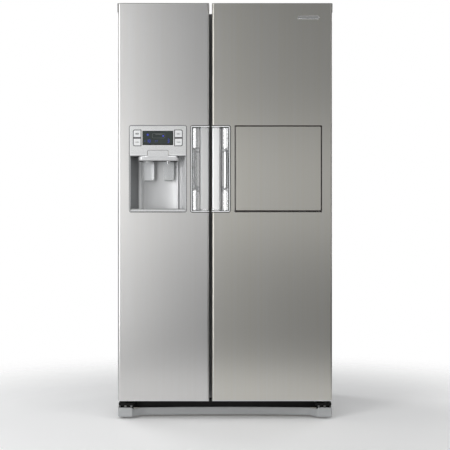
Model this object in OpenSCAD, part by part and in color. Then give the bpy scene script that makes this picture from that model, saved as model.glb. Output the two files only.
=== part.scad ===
// Side by side refrigerator with an ice and water dispenser and a fold-down home bar.
// Millimetres. +Z is up, the doors face -Y, and the origin is on the floor under the middle of the box
// that encloses the whole appliance.

/* [Cabinet] */
// Width over the cabinet's side panels
cabinet_w = 904; // [890:1:920]
// Height of the cabinet's top panel above the floor
cabinet_top = 1737; // [1733:1:1742]
// Depth from the foremost trim to the back panel
overall_d = 735; // [730:1:745]
// Underside of the insulated box above the floor
box_bottom = 62; // [58:1:64]
// Thickness of the steel sheets of the cabinet
sheet = 1; // [0.8:0.1:1.2]
// Thickness of the plastic liners
liner_t = 2; // [1.5:0.5:2.5]

/* [Doors] */
// Width over both doors
doors_w = 908; // [900:1:920]
// Top edge of the doors above the floor
door_top = 1765; // [1760:1:1770]
// Bottom edge of the doors above the floor
door_bottom = 79; // [77:1:84]
// Thickness of a door without its seal
door_t = 82; // [80:1:86]
// Thickness of the pressed seal between door and cabinet
gasket_t = 11.7; // [10:0.1:14]
// Gap between the two doors
door_gap = 12; // [10:1:13]
// Place of the gap's middle, left of the centre line
gap_x = -61.5; // [-64:0.5:-60]
// Radius of the doors' front edges
edge_r = 8; // [5:1:10]

/* [Home bar] */
// Width of the fold-down panel
bar_w = 364; // [360:1:366]
// Height of the fold-down panel
bar_h = 361; // [356:1:362]
// Gap round the fold-down panel
bar_gap = 3; // [2.5:0.5:4]

/* [Dispenser] */
// Width of the dispenser's frame
disp_w = 243; // [240:1:246]
// Height shared by the dispenser's frame and the handles
disp_h = 368; // [364:1:370]
// Depth of the recess for a glass
disp_depth = 95; // [85:1:98]

/* [Interior] */
// Height of both compartments' floors
cavity_z0 = 125; // [120:1:130]
// Height of both compartments' ceilings
cavity_z1 = 1685; // [1680:1:1690]

/* [Hidden] */
$fn = 48;

LEFT = -1;
RIGHT = 1;
eps = 0.5; // how far a cutting shape reaches past the face it opens

// Depths, from the doors' front back to the rear panel
trim_proud = 2; // trim that stands in front of the steel skins
skin_t = 1; // thickness of a door's steel skin
door_front = -overall_d / 2 + trim_proud;
door_back = door_front + door_t;
cab_front = door_back + gasket_t + 0.3;
cab_back = overall_d / 2;

// Cabinet cavities
wall_left = 57; // foam wall beside the freezer
wall_right = 47; // foam wall beside the fridge
mullion_w = 56; // wall between the two compartments
mullion_x = -64; // its middle
cavity_back = 262;
step_y = 120; // the compartments' lower rear corner steps round the machine room
step_z = 330;
drawer_rail_z = 335.5;
machine_y = 165;
machine_z = 270;

function cavity_x(s) = s < 0
    ? [-cabinet_w / 2 + wall_left, mullion_x - mullion_w / 2]
    : [mullion_x + mullion_w / 2, cabinet_w / 2 - wall_right];
function door_x(s) = s < 0
    ? [-doors_w / 2, gap_x - door_gap / 2]
    : [gap_x + door_gap / 2, doors_w / 2];

// Door hinges: the pin stands hinge_in from the door's side and hinge_deep behind its front
hinge_in = 22;
hinge_deep = 48;
hinge_y = door_front + hinge_deep;
function hinge_x(s) = s * (doors_w / 2 - hinge_in);
upper_pin_r = 5;
lower_pin_r = 6;
pin_clear = 0.05; // radial running clearance of every pin in its bore
notch_z = 1732; // floor of the notch that clears the hinge at a door's upper corner
notch_wall = 12; // front wall left standing before that notch
cap_lip = 3; // visible edge of the end caps
plug_h = 30; // height of the lower cap inside the door
hinge_block_z = 1700;

// Door liner and bins, as distances from the liner's plate
dyke_h = 60;
dyke_w = 22;
bulge_z = [858, 1330]; // the freezer door's liner bulges round the dispenser here
bar_z = [862, 1262]; // the fridge door's liner is open for the home bar here
bin_deep = 105;
bin_shallow = 58;
bin_h = 105;
bin_wall = 2.5;
cap_floor_z = notch_z - 4;
foam_seam = 0.4; // gap between neighbouring blocks of a door's foam
liner_z = [door_bottom + cap_lip, cap_floor_z];
freezer_bin_z = [165, 385, 610, 1402, 1540];
fridge_bin_z = [165, 385, 610, 1290, 1480];
function dyke_x(s) = s < 0
    ? [hinge_x(LEFT) + 49, hinge_x(LEFT) + 316]
    : [hinge_x(RIGHT) - 444, hinge_x(RIGHT) - 39];
bulge_x = [dyke_x(LEFT)[0] - 5, dyke_x(LEFT)[1]];
function bin_x(s) = [dyke_x(s)[0] + dyke_w, dyke_x(s)[1] - dyke_w];

// Handles, measured from the middle of the gap between the doors
grip_u = [6.6, 46];
pocket_u = [8, 82];
pocket_deep = 46;
pocket_wall = 2;
handle_z = [878, 878 + disp_h + 1];

// Dispenser
disp_x = [-405.5, -405.5 + disp_w];
disp_z = [879, 879 + disp_h];
fascia_z0 = 1121; // the control panel ends here and the recess begins
disp_back_x = [-372, -190]; // the recess narrows to this at its back
canopy_x = [-368, -198];
tab_x = [-328, -240]; // the canopy's tab stands in a notch of the control panel
tab_h = 20;
lever_w = 46;
lever_x = [-327, -243];
lever_pivot_z = 1104;
lever_pivot_y = door_front + 66;
lever_bottom = 1014;
lever_pin_r = 2.5;
button_x = [[-387, -357], [-212, -182]];
button_z = [[1197, 1226], [1161.5, 1190.5]];
button_clear = 0.4;
window_x = [-350, -219];
window_z = [1163, 1224];

// Home bar
bar_x = [44, 44 + bar_w];
bar_z0 = 883;
bar_panel_z = [bar_z0, bar_z0 + bar_h];
bar_bottom_gap = 4;
bar_hole_x = [bar_x[0] - bar_gap, bar_x[1] + bar_gap];
bar_hole_z = [bar_z0 - bar_bottom_gap, bar_panel_z[1] + bar_gap];
bar_t = 30;
bar_pivot_y = door_front + 5;
bar_pivot_z = bar_z0 + 3;
bar_pin_r = 2.5;
bar_tunnel_x = [60, 392];
bar_tunnel_z = [897, 1230];
bar_frame_w = 10.5;

// Machine room and running gear
roller_r = 20;
roller_w = 16;
roller_pin_r = 4;
roller_x = 400;
roller_y = 320;
foot_x = 405;
foot_y = -225;
foot_rod_r = 6;
rail_z = [30, box_bottom];
rail_y0 = -255;
pan_top = 33;
case_z0 = 40; // lower edge of the cabinet's side sheets
seam = 0.3; // gap between sheets that meet
inlet_x = [320, 372];
inlet_z = [54, 82];
valve_at = [-410, 150]; // X and Z of the water port
valve_r = 9;
port_r = 3.2; // takes a 6.35 mm tube
port_length = 16;
fan_x = 130;
fan_y = 275;
fan_z = 145;
fan_shaft_r = 3;

// ---- shapes ----

// A range from two ends given in either order
function span(a, b) = [min(a, b), max(a, b)];

// A box from three ranges
module block(x, y, z) {
    translate([x[0], y[0], z[0]]) cube([x[1] - x[0], y[1] - y[0], z[1] - z[0]]);
}

// The outline of a rectangle with round corners
function round_rect(a, b, r, n = 5) = [
    for (corner = [[a[1] - r, b[1] - r, 0], [a[0] + r, b[1] - r, 90],
                   [a[0] + r, b[0] + r, 180], [a[1] - r, b[0] + r, 270]])
        for (i = [0:n])
            [corner[0] + r * cos(corner[2] + 90 * i / n), corner[1] + r * sin(corner[2] + 90 * i / n)]];

// A plate with round corners that lies across Y
module plate_y(x, y, z, r) {
    translate([0, y[1], 0]) rotate([90, 0, 0]) linear_extrude(y[1] - y[0]) polygon(round_rect(x, z, r));
}

// A plate with round corners that lies across Z
module plate_z(x, y, z, r) {
    translate([0, 0, z[0]]) linear_extrude(z[1] - z[0]) polygon(round_rect(x, y, r));
}

// A tray: a box that is open at the top
module tray(x, y, z, wall, r = 6) {
    difference() {
        plate_z(x, y, z, r);
        plate_z([x[0] + wall, x[1] - wall], [y[0] + wall, y[1] - wall], [z[0] + wall, z[1] + eps], r - 1);
    }
}

// A rectangular ring that lies across Y
module ring_y(x, y, z, w, r) {
    difference() {
        plate_y(x, y, z, r);
        plate_y([x[0] + w, x[1] - w], [y[0] - eps, y[1] + eps], [z[0] + w, z[1] - w], max(r - w, 1));
    }
}

// A cylinder along X between two ends
module rod_x(x, y, z, r) {
    translate([x[0], y, z]) rotate([0, 90, 0]) cylinder(r = r, h = x[1] - x[0]);
}

// A cylinder along Z between two ends
module rod_z(x, y, z, r) {
    translate([x, y, z[0]]) cylinder(r = r, h = z[1] - z[0]);
}

// A frame at a door hinge's pin: +X runs towards the door's free edge
module at_hinge(s) {
    translate([hinge_x(s), hinge_y, 0]) mirror([s > 0 ? 1 : 0, 0, 0]) children();
}

// A frame at the gap between the doors: +X runs into door s
module at_gap(s) {
    translate([gap_x, 0, 0]) mirror([s < 0 ? 1 : 0, 0, 0]) children();
}

// ---- cabinet ----

// One compartment, grown outward by g
module cavity(s, g, y0) {
    x = [cavity_x(s)[0] - g, cavity_x(s)[1] + g];
    block(x, [y0, step_y + g], [cavity_z0 - g, cavity_z1 + g]);
    block(x, [y0, cavity_back + g], [step_z - g, cavity_z1 + g]);
}

// Two side sheets and a top sheet that stops a seam short of them
module outer_case() {
    half = cabinet_w / 2;
    y = [cab_front + sheet, cab_back - sheet];
    color("silver") {
        for (s = [LEFT, RIGHT]) block(span(s * (half - sheet), s * half), y, [case_z0, cabinet_top]);
        block([-half + sheet + seam, half - sheet - seam], y, [cabinet_top - sheet, cabinet_top]);
    }
}

// The front flange round both compartments
module face_frame() {
    color("dimgray") difference() {
        block([-cabinet_w / 2, cabinet_w / 2], [cab_front, cab_front + sheet], [door_bottom, cabinet_top]);
        for (s = [LEFT, RIGHT])
            block(cavity_x(s), [cab_front - eps, cab_front + sheet + eps], [cavity_z0, cavity_z1]);
    }
}

// The back sheet, and under it the slotted cover of the machine room
module rear_panels() {
    x = [-cabinet_w / 2, cabinet_w / 2];
    y = [cab_back - sheet, cab_back];
    through = [y[0] - eps, y[1] + eps];
    split_z = machine_z + 10;
    slot = [40, 8];
    color("gainsboro") {
        block(x, y, [split_z + seam, cabinet_top]);
        difference() {
            block(x, y, [44, split_z]);
            for (row = [0:4], column = [0:6])
                block([-350 + 100 * column, -350 + 100 * column + slot[0]], through,
                      [100 + 32 * row, 100 + 32 * row + slot[1]]);
            block([inlet_x[0] - seam, inlet_x[1] + seam], through, [inlet_z[0] - seam, inlet_z[1] + seam]);
            translate([valve_at[0], y[0] - eps, valve_at[1]]) rotate([-90, 0, 0])
                cylinder(r = valve_r + seam, h = sheet + 2 * eps);
        }
    }
}

module insulation() {
    half = cabinet_w / 2 - sheet;
    color("khaki") difference() {
        block([-half, half], [cab_front + sheet, cab_back - sheet], [box_bottom, cabinet_top - sheet]);
        for (s = [LEFT, RIGHT]) cavity(s, liner_t, cab_front);
        block([-half - eps, half + eps], [machine_y, cab_back + eps], [box_bottom - eps, machine_z]);
    }
}

// The moulded inside of one compartment, with a pair of rails under the upper drawer
module liner(s) {
    rail_w = 14;
    color("white") {
        difference() {
            cavity(s, liner_t, cab_front + sheet);
            cavity(s, 0, cab_front);
        }
        for (x = [[cavity_x(s)[0], cavity_x(s)[0] + rail_w], [cavity_x(s)[1] - rail_w, cavity_x(s)[1]]])
            block(x, [-150, 200], [drawer_rail_z - 6, drawer_rail_z]);
    }
}

// Side rails, cross members, the black plate under the doors and the rear rollers' forks with their pins
module base_frame() {
    half = cabinet_w / 2 - sheet;
    rail_w = 24;
    fork_t = 3;
    fork_y = [roller_y - 14, roller_y + 14];
    gap = roller_w / 2 + 1;
    plate_z0 = 36; // lower edge of the black plate
    color("black") {
        difference() {
            union() {
                for (s = [LEFT, RIGHT]) block(span(s * (half - rail_w), s * half), [rail_y0, 355], rail_z);
                block([-half, half], [foot_y - 15, foot_y + 25], [34, box_bottom]);
                block([-half, half], [cab_front, cab_front + sheet], [plate_z0, door_bottom]);
                block([-half, half], [cab_front, rail_y0 + 3], [plate_z0, box_bottom]);
                block([-half, half], [machine_y - 4, machine_y + 16], rail_z);
                block([-380, 380], [machine_y, 355], [rail_z[0], pan_top]);
            }
            for (s = [LEFT, RIGHT]) rod_z(s * foot_x, foot_y, [20, 80], foot_rod_r + pin_clear);
        }
        for (s = [LEFT, RIGHT]) {
            for (e = [-1, 1])
                block(span(s * roller_x + e * gap, s * roller_x + e * (gap + fork_t)), fork_y, [12, 48]);
            block(span(s * (roller_x - gap - fork_t), s * (half - rail_w + 3)), fork_y, [45, 48]);
            rod_x([s * roller_x - gap - fork_t, s * roller_x + gap + fork_t],
                  roller_y, roller_r, roller_pin_r);
        }
    }
}

// The leg cover: two corner blocks that stand under the doors, joined by a bar that bows towards the rear
module kick_plate() {
    half = doors_w / 2 + 1.5;
    wall = 3;
    block_y = door_front + 20;
    bar_y = door_front + 65;
    bow = 14;
    slope_x = 360;
    flat_x = 395;
    return_y = rail_y0 - 1;
    bottom = 9;
    bar_top = 41;
    block_top = 48.5;
    steps = 12;
    bar = [for (i = [0:steps]) let (x = -slope_x + 2 * slope_x * i / steps)
        [x, bar_y + bow * (1 - pow(x / slope_x, 2))]];
    back = [for (i = [steps:-1:0]) [bar[i][0] * (1 + wall / slope_x / 2), bar[i][1] + wall]];
    color("gray") {
        translate([0, 0, bottom]) linear_extrude(bar_top - bottom) polygon(concat(
            [[-half, return_y], [-half, block_y], [-flat_x, block_y]], bar,
            [[flat_x, block_y], [half, block_y], [half, return_y], [half - wall, return_y],
             [half - wall, block_y + wall], [flat_x + 1, block_y + wall]], back,
            [[-flat_x - 1, block_y + wall], [-half + wall, block_y + wall], [-half + wall, return_y]]));
        for (s = [LEFT, RIGHT])
            block(span(s * flat_x, s * half), [block_y, block_y + wall], [bar_top, block_top]);
    }
}

module upper_hinges() {
    plate_z = [cabinet_top, cabinet_top + 5];
    color("silver") for (s = [LEFT, RIGHT]) at_hinge(s) {
        block([-16, 40], [0, 150], plate_z);
        rod_z(0, 0, plate_z, 16);
        rod_z(0, 0, [cabinet_top - 32, cabinet_top], upper_pin_r);
        for (v = [70, 130]) rod_z(12, v, [plate_z[1], plate_z[1] + 4], 6);
    }
}

// The outside of a hinge cover, shrunk by g: its top slopes down towards the door
module hinge_cover_shape(g) {
    x = [-18 + g, 42 - g];
    y = [-28 + g, 165 - g];
    slope = [36, 9]; // length and drop of the sloping front
    top = cabinet_top + 38 - g;
    intersection() {
        plate_z(x, y, [cabinet_top - g, top], 8 - g);
        translate([x[0] - 1, 0, 0]) rotate([90, 0, 90]) linear_extrude(x[1] - x[0] + 2)
            polygon([[y[0], cabinet_top - 5], [y[1], cabinet_top - 5], [y[1], top],
                     [y[0] + slope[0], top], [y[0], top - slope[1]]]);
    }
}

module hinge_covers() {
    wall = 1.8;
    color("gray") for (s = [LEFT, RIGHT]) at_hinge(s) difference() {
        hinge_cover_shape(0);
        hinge_cover_shape(wall);
    }
}

module lower_hinges() {
    color("black") for (s = [LEFT, RIGHT]) at_hinge(s) {
        wall_v = cab_front - hinge_y;
        plate_top = 66;
        plate_z([-22, 46], [-20, wall_v], [55, plate_top], 8);
        block([-19, 46], [wall_v - 4, wall_v], [46, 78]);
        rod_z(0, 0, [plate_top, door_bottom - 0.4], 18);
        rod_z(0, 0, [plate_top, door_bottom + 25], lower_pin_r);
    }
}

// ---- machine room ----

module compressor() {
    color("black") translate([-250, 262, 0]) {
        for (x = [-70, 70]) block([x - 14, x + 14], [-60, 60], [33, 46]);
        block([-84, 84], [-50, 50], [46, 50]);
        rod_z(0, 0, [50, 175], 72);
        intersection() {
            translate([0, 0, 148]) sphere(r = 77);
            rod_z(0, 0, [175, 240], 72);
        }
        block([60, 92], [-22, 22], [90, 150]);
        rod_z(-30, 20, [200, 245], 5);
    }
}

module condenser() {
    x = [30, 230];
    y = [185, 235];
    z = [50, 235];
    color("dimgray") {
        for (i = [0:12]) {
            fin = x[0] + (x[1] - x[0]) * i / 12;
            block([fin - 0.5, fin + 0.5], y, z);
        }
        for (row = [0:3], column = [0:1])
            rod_x([x[0] - 12, x[1] + 12], y[0] + 14 + 22 * column, z[0] + 28 + 42 * row, 4);
        for (e = [x[0] - 14, x[1] + 11]) block([e, e + 3], y, [33, z[1]]);
    }
}

module fan_motor() {
    color("gray") {
        translate([fan_x, fan_y + 18, fan_z]) rotate([-90, 0, 0]) cylinder(r = 24, h = 38);
        translate([fan_x, fan_y - 16, fan_z]) rotate([-90, 0, 0]) cylinder(r = fan_shaft_r, h = 40);
        block([fan_x - 8, fan_x + 8], [fan_y + 40, fan_y + 54], [33, fan_z - 10]);
        block([fan_x - 40, fan_x + 40], [fan_y + 30, fan_y + 60], [33, 36]);
    }
}

module condenser_fan() {
    color("white") translate([fan_x, fan_y, fan_z]) rotate([-90, 0, 0]) difference() {
        union() {
            translate([0, 0, -14]) cylinder(r = 18, h = 28);
            for (i = [0:4]) rotate([0, 0, 72 * i])
                translate([14, -16, -1]) rotate([28, 0, 0]) translate([0, 0, -1]) cube([52, 34, 2]);
        }
        translate([0, 0, -30]) cylinder(r = fan_shaft_r + pin_clear, h = 60);
    }
}

// The socket that takes the mains lead
module power_inlet() {
    x = inlet_x;
    z = inlet_z;
    color("black") difference() {
        block(x, [cab_back - 24, cab_back], z);
        block([x[0] + 3, x[1] - 3], [cab_back - 18, cab_back + eps], [z[0] + 3, z[1] - 3]);
    }
}

// The solenoid valve, with the push-in port for the water tube
module water_valve() {
    x = valve_at[0];
    z = valve_at[1];
    color("white") difference() {
        union() {
            block([x - 15, x + 15], [cab_back - 44, cab_back - 18], [z - 15, z + 15]);
            block([x - 12, x + 12], [cab_back - 42, cab_back - 20], [z + 15, z + 40]);
            translate([x, cab_back - 20, z]) rotate([-90, 0, 0]) cylinder(r = valve_r, h = 20);
        }
        translate([x, cab_back - port_length, z]) rotate([-90, 0, 0])
            cylinder(r = port_r, h = port_length + 1);
    }
}

module roller(s) {
    place = [s * roller_x - roller_w / 2, roller_y, roller_r];
    color("black") translate(place) rotate([0, 90, 0]) difference() {
        cylinder(r = roller_r, h = roller_w);
        translate([0, 0, -eps]) cylinder(r = roller_pin_r + pin_clear, h = roller_w + 2 * eps);
        for (e = [-eps, roller_w - 3]) translate([0, 0, e]) difference() {
            cylinder(r = roller_r - 4, h = 3 + eps);
            cylinder(r = roller_pin_r + 4, h = 3 + eps);
        }
    }
}

module foot(s) {
    color("black") translate([s * foot_x, foot_y, 0]) {
        cylinder(r = 18, h = 8);
        translate([0, 0, 8]) cylinder(r = 13, h = 8, $fn = 6);
        cylinder(r = foot_rod_r, h = box_bottom - 4);
    }
}

// ---- interior ----

module duct_covers() {
    freezer_x = [cavity_x(LEFT)[0] + 12, cavity_x(LEFT)[1] - 12];
    color("whitesmoke") {
        difference() {
            plate_y(freezer_x, [244, cavity_back], [345, 1320], 10);
            for (z = [420:150:1170], column = [0:2])
                plate_y([freezer_x[0] + 30 + 80 * column, freezer_x[0] + 90 + 80 * column],
                        [243, 252], [z, z + 14], 6);
        }
        difference() {
            plate_y([95, 275], [240, cavity_back], [345, 1675], 14);
            for (z = [420:170:1610], e = [0, 1])
                plate_y([115 + 85 * e, 170 + 85 * e], [239, 250], [z, z + 12], 5);
        }
    }
}

module freezer_shelves() {
    color("white") for (z = [505, 712, 924, 1136, 1322]) difference() {
        block(cavity_x(LEFT), [-152, 238], [z, z + 6]);
        for (i = [0:8]) block([-372 + 29 * i, -354 + 29 * i], [-118, 200], [z - eps, z + 6 + eps]);
    }
}

module ice_maker() {
    color("white") {
        block([-378, -110], [90, 228], [1600, 1672]);
        block([-378, -345], [60, 228], [1560, 1600]);
        difference() {
            block([-340, -112], [100, 220], [1560, 1598]);
            for (i = [0:5]) block([-334 + 37 * i, -302 + 37 * i], [106, 214], [1568, 1600]);
        }
    }
}

// The bucket under the ice maker, with the nose that drops ice into the door
module ice_bucket() {
    x = [cavity_x(LEFT)[0] + 9, cavity_x(LEFT)[1] - 10];
    y0 = -146;
    z = [1329, 1520];
    nose_x = [lever_x[0] - 27, lever_x[0] + 27];
    color("lightblue") difference() {
        union() {
            tray(x, [y0 + 6, 225], z, 3, 12);
            block(x, [y0, y0 + 12], [z[0], z[1] + 20]);
            translate([nose_x[0], 0, 0]) rotate([90, 0, 90]) linear_extrude(nose_x[1] - nose_x[0])
                polygon([[y0 + 1, z[0] + 4], [y0 + 1, z[0] + 66], [y0 - 76, z[0] + 52], [y0 - 76, z[0] + 8]]);
        }
        translate([nose_x[0] + 3, 0, 0]) rotate([90, 0, 90]) linear_extrude(nose_x[1] - nose_x[0] - 6)
            polygon([[y0 + 13, z[0] + 9], [y0 + 13, z[0] + 61], [y0 - 73, z[0] + 48],
                     [y0 - 73, z[0] - 1], [y0 - 30, z[0] - 1], [y0 - 30, z[0] + 9]]);
    }
}

// A drawer with a deeper front that carries a finger lip
module drawer(x, y1, z) {
    front = -160;
    tray(x, [front + 6, y1], z, 3, 4);
    difference() {
        plate_y(x, [front, front + 8], [z[0], z[1] + 6], 6);
        plate_y([(x[0] + x[1]) / 2 - 70, (x[0] + x[1]) / 2 + 70], [front - eps, front + 9],
                [z[1] - 26, z[1] - 6], 8);
    }
}

function drawer_x(s) = [cavity_x(s)[0] + 7, cavity_x(s)[1] - 7];

module freezer_drawer_upper() { color("lightcyan") drawer(drawer_x(LEFT), 228, [drawer_rail_z + 0.5, 492]); }

module freezer_drawer_lower() { color("lightcyan") drawer(drawer_x(LEFT), 112, [cavity_z0 + 0.5, 306]); }

module fridge_shelves() {
    color("lightcyan") for (z = [512, 740, 965, 1190, 1415]) {
        block(cavity_x(RIGHT), [-150, 236], [z, z + 5]);
        block(cavity_x(RIGHT), [-156, -150], [z - 8, z + 9]);
    }
}

module crisper_upper() { color("lightcyan") drawer(drawer_x(RIGHT), 228, [drawer_rail_z + 0.5, 494]); }

module crisper_lower() { color("lightcyan") drawer(drawer_x(RIGHT), 112, [cavity_z0 + 0.5, 306]); }

// ---- doors ----

// A door's outline from above, with round front edges, shrunk by g
module door_outline(s, g) {
    x = [door_x(s)[0] + g, door_x(s)[1] - g];
    y = [door_front + g, door_back];
    r = edge_r - g;
    polygon(concat(
        [[x[0], y[1]]],
        [for (i = [0:5]) [x[0] + r - r * cos(18 * i), y[0] + r - r * sin(18 * i)]],
        [for (i = [5:-1:0]) [x[1] - r + r * cos(18 * i), y[0] + r - r * sin(18 * i)]],
        [[x[1], y[1]]]));
}

module door_prism(s, g, z) {
    translate([0, 0, z[0]]) linear_extrude(z[1] - z[0]) door_outline(s, g);
}

// The corner that a door gives up to its upper hinge
module hinge_notch(s) {
    at_hinge(s) block([-hinge_in - 5, 56], [notch_wall - hinge_deep, door_t], [notch_z, door_top + eps]);
}

// The solid part of the upper cap that holds the hinge's bush
module hinge_block(s) {
    at_hinge(s) block([-hinge_in + skin_t, 70], [notch_wall - hinge_deep, door_t - hinge_deep - 2],
                      [hinge_block_z, notch_z + 2]);
}

// Where the handle takes the door's edge away
module handle_gap(s, deep) {
    at_gap(s) block([0, pocket_u[1] + 0.5], [door_front - eps, door_front + deep], handle_z);
}

// The recess's shape from above, grown outward by g and reaching back to y1
module recess_outline(g, y1) {
    front = [disp_x[0] + 4.5 - g, disp_x[1] - 4.5 + g];
    polygon([[front[0], door_front + skin_t], [front[1], door_front + skin_t],
             [front[1], door_front + skin_t + 14],
             [disp_back_x[1] + 6 + g, y1 - 8], [disp_back_x[1] - 6 + g, y1],
             [disp_back_x[0] + 6 - g, y1], [disp_back_x[0] - 6 - g, y1 - 8],
             [front[0], door_front + skin_t + 14]]);
}

// The folded steel front and sides of a door
module door_skin(s) {
    z = [door_bottom + cap_lip, door_top - cap_lip];
    through = [door_front - eps, door_front + skin_t + eps];
    color("silver") difference() {
        door_prism(s, 0, z);
        door_prism(s, skin_t, [z[0] - eps, z[1] + eps]);
        block([-500, 500], [door_back - 2, door_back + 5], [z[0] - eps, z[1] + eps]);
        hinge_notch(s);
        handle_gap(s, 26);
        if (s < 0)
            plate_y([disp_x[0] + 1.4, disp_x[1] - 1.4], through, [disp_z[0] + 1.4, disp_z[1] - 1.4], 7);
        if (s > 0) block(bar_hole_x, through, bar_hole_z);
    }
}

// One shell of the liner's raised ring, hollow from the front
module dyke(x, z) {
    y = [door_back - 1, door_back + dyke_h];
    difference() {
        plate_y(x, y, z, 14);
        plate_y([x[0] + dyke_w, x[1] - dyke_w], [y[0] - eps, y[1] + eps], [z[0] + dyke_w, z[1] - dyke_w], 3);
    }
}

// The hollow behind that ring, which the foam fills
module dyke_hollow(x, z) {
    y = [door_back - 3, door_back + dyke_h - liner_t];
    in = dyke_w - liner_t;
    difference() {
        plate_y([x[0] + liner_t, x[1] - liner_t], y, [z[0] + liner_t, z[1] - liner_t], 12);
        plate_y([x[0] + in, x[1] - in], [y[0] - eps, y[1] + eps], [z[0] + in, z[1] - in], 5);
    }
}

// The middle of the freezer door's liner, which bulges round the dispenser
module bulge(g, y0) {
    block([bulge_x[0] + g, bulge_x[1] - g], [y0, door_back + dyke_h - g], [bulge_z[0] + g, bulge_z[1] - g]);
}

function dyke_spans(s) = s < 0
    ? [[140, bulge_z[0] + dyke_w], [bulge_z[1] - dyke_w, 1670]]
    : [[140, bar_z[0]], [bar_z[1], 1670]];

module door_liner(s) {
    color("white") difference() {
        union() {
            block(door_x(s), [door_back - 2, door_back], liner_z);
            for (z = dyke_spans(s)) dyke(dyke_x(s), z);
            if (s < 0) bulge(0, door_back - 1);
        }
        for (z = dyke_spans(s)) dyke_hollow(dyke_x(s), z);
        if (s < 0) bulge(liner_t, door_back - 3);
        if (s > 0) block([bar_tunnel_x[0] - 4, bar_tunnel_x[1] + 4], [door_back - 5, door_back + 5],
                         [bar_tunnel_z[0] - 4, bar_tunnel_z[1] + 4]);
    }
}

// The bars of foam inside one of the liner's raised rings
module dyke_fill(x, z) {
    y = [door_back - liner_t + foam_seam, door_back + dyke_h - liner_t];
    bar = dyke_w - 2 * liner_t;
    corner = 14; // the ring's round corners stay empty
    for (e = [x[0] + liner_t, x[1] - liner_t - bar]) block([e, e + bar], y, [z[0] + corner, z[1] - corner]);
    for (e = [z[0] + liner_t, z[1] - liner_t - bar])
        block([x[0] + dyke_w + foam_seam, x[1] - dyke_w - foam_seam], y, [e, e + bar]);
}

// A door's foam, poured in blocks that leave thin seams level with the openings' edges
module door_foam(s) {
    inside = [door_bottom + plug_h, cap_floor_z];
    all_x = [-500, 500];
    cut_y = [door_front - eps, door_back + eps];
    bar_out = bar_frame_w + foam_seam;
    seam_z = s < 0 ? [handle_z[0], handle_z[1], hinge_block_z]
        : [bar_hole_z[0] - bar_frame_w, bar_hole_z[1] + bar_frame_w, hinge_block_z];
    seam_x = s < 0 ? [gap_x - pocket_u[1] - 1]
        : [gap_x + pocket_u[1] + 1, bar_hole_x[0] - bar_out, bar_hole_x[1] + bar_out];
    color("khaki") {
        difference() {
            intersection() {
                door_prism(s, skin_t, inside);
                block(all_x, [door_front, door_back - liner_t], inside);
            }
            for (z = seam_z) block(all_x, cut_y, [z - foam_seam, z]);
            for (x = seam_x) block([x, x + foam_seam], cut_y, [seam_z[0], seam_z[1]]);
            hinge_block(s);
            handle_gap(s, pocket_deep + pocket_wall);
            if (s < 0) block([disp_x[0] + 1, disp_x[1] - 1], cut_y, [disp_z[0] + 1, disp_z[1] - 1]);
            if (s > 0) {
                bar_frame_envelope();
                block([bar_tunnel_x[0] - 4, bar_tunnel_x[1] + 4], cut_y,
                      [bar_tunnel_z[0] - 4, bar_tunnel_z[1] + 4]);
            }
        }
        for (z = dyke_spans(s)) dyke_fill(dyke_x(s), z);
        if (s < 0) block([bulge_x[0] + liner_t, bulge_x[1] - liner_t],
                         [door_front + disp_depth + 4, door_back + dyke_h - liner_t],
                         [dyke_spans(s)[0][1] + foam_seam, dyke_spans(s)[1][0] - foam_seam]);
    }
}

module door_caps(s) {
    color("gray") {
        difference() {
            union() {
                door_prism(s, 0, [door_top - cap_lip, door_top]);
                door_prism(s, skin_t, [cap_floor_z, door_top - cap_lip]);
                hinge_block(s);
                at_hinge(s) block([-hinge_in - 2, -hinge_in], [-42, notch_wall - hinge_deep],
                                  [1727, door_top]);
                at_hinge(s) block([-hinge_in - 1, -hinge_in + 6], [-42, notch_wall - hinge_deep],
                                  [door_top - cap_lip, door_top]);
            }
            hinge_notch(s);
            at_hinge(s) rod_z(0, 0, [hinge_block_z - eps, notch_z + 5], upper_pin_r + pin_clear);
        }
        difference() {
            union() {
                door_prism(s, 0, [door_bottom, door_bottom + cap_lip]);
                intersection() {
                    door_prism(s, skin_t, [door_bottom + cap_lip, door_bottom + plug_h]);
                    block([-500, 500], [door_front, door_back - 2], [door_bottom, door_bottom + plug_h]);
                }
            }
            at_hinge(s) rod_z(0, 0, [door_bottom - eps, door_bottom + 27], lower_pin_r + pin_clear);
        }
    }
}

module door_gasket(s) {
    x = s < 0 ? [hinge_x(s) + 2, door_x(s)[1] - 8] : [door_x(s)[0] + 8, hinge_x(s) - 2];
    color("dimgray") ring_y(x, [door_back, door_back + gasket_t], [98, 1714], 14, 6);
}

// A door bin: a tray with a low rail at its front
module door_bins(s, heights) {
    x = [bin_x(s)[0], bin_x(s)[1]];
    color("lightcyan") for (z = heights) {
        deep = z < 500 ? bin_shallow : bin_deep;
        tray(x, [door_back, door_back + deep], [z, z + bin_h], bin_wall, 4);
    }
}

// The bright finger pocket beside the gap between the doors
module handle_pocket(s) {
    y1 = door_front + pocket_deep + pocket_wall;
    flange_u = 85;
    lip = 0.5;
    edge = 26; // depth of the opening in the door's side
    color("gainsboro") at_gap(s) difference() {
        union() {
            block(pocket_u, [door_front + edge, y1], handle_z);
            block([door_gap / 2 + skin_t, pocket_u[1]], [door_front, door_front + edge + 2], handle_z);
            plate_y([-20, flange_u], [door_front - 1.2, door_front],
                    [handle_z[0] - lip, handle_z[1] + lip], 9);
        }
        block([-30, door_gap / 2 + skin_t], [door_front - 5, door_front + edge],
              [handle_z[0] - 9, handle_z[1] + 9]);
        block([0, pocket_u[0] + pocket_wall], [door_front - 5, door_front + edge],
              [handle_z[0] + pocket_wall, handle_z[1] - pocket_wall]);
        block([pocket_u[0] + pocket_wall, pocket_u[1] - pocket_wall],
              [door_front - 5, door_front + pocket_deep],
              [handle_z[0] + pocket_wall, handle_z[1] - pocket_wall]);
    }
}

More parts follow.
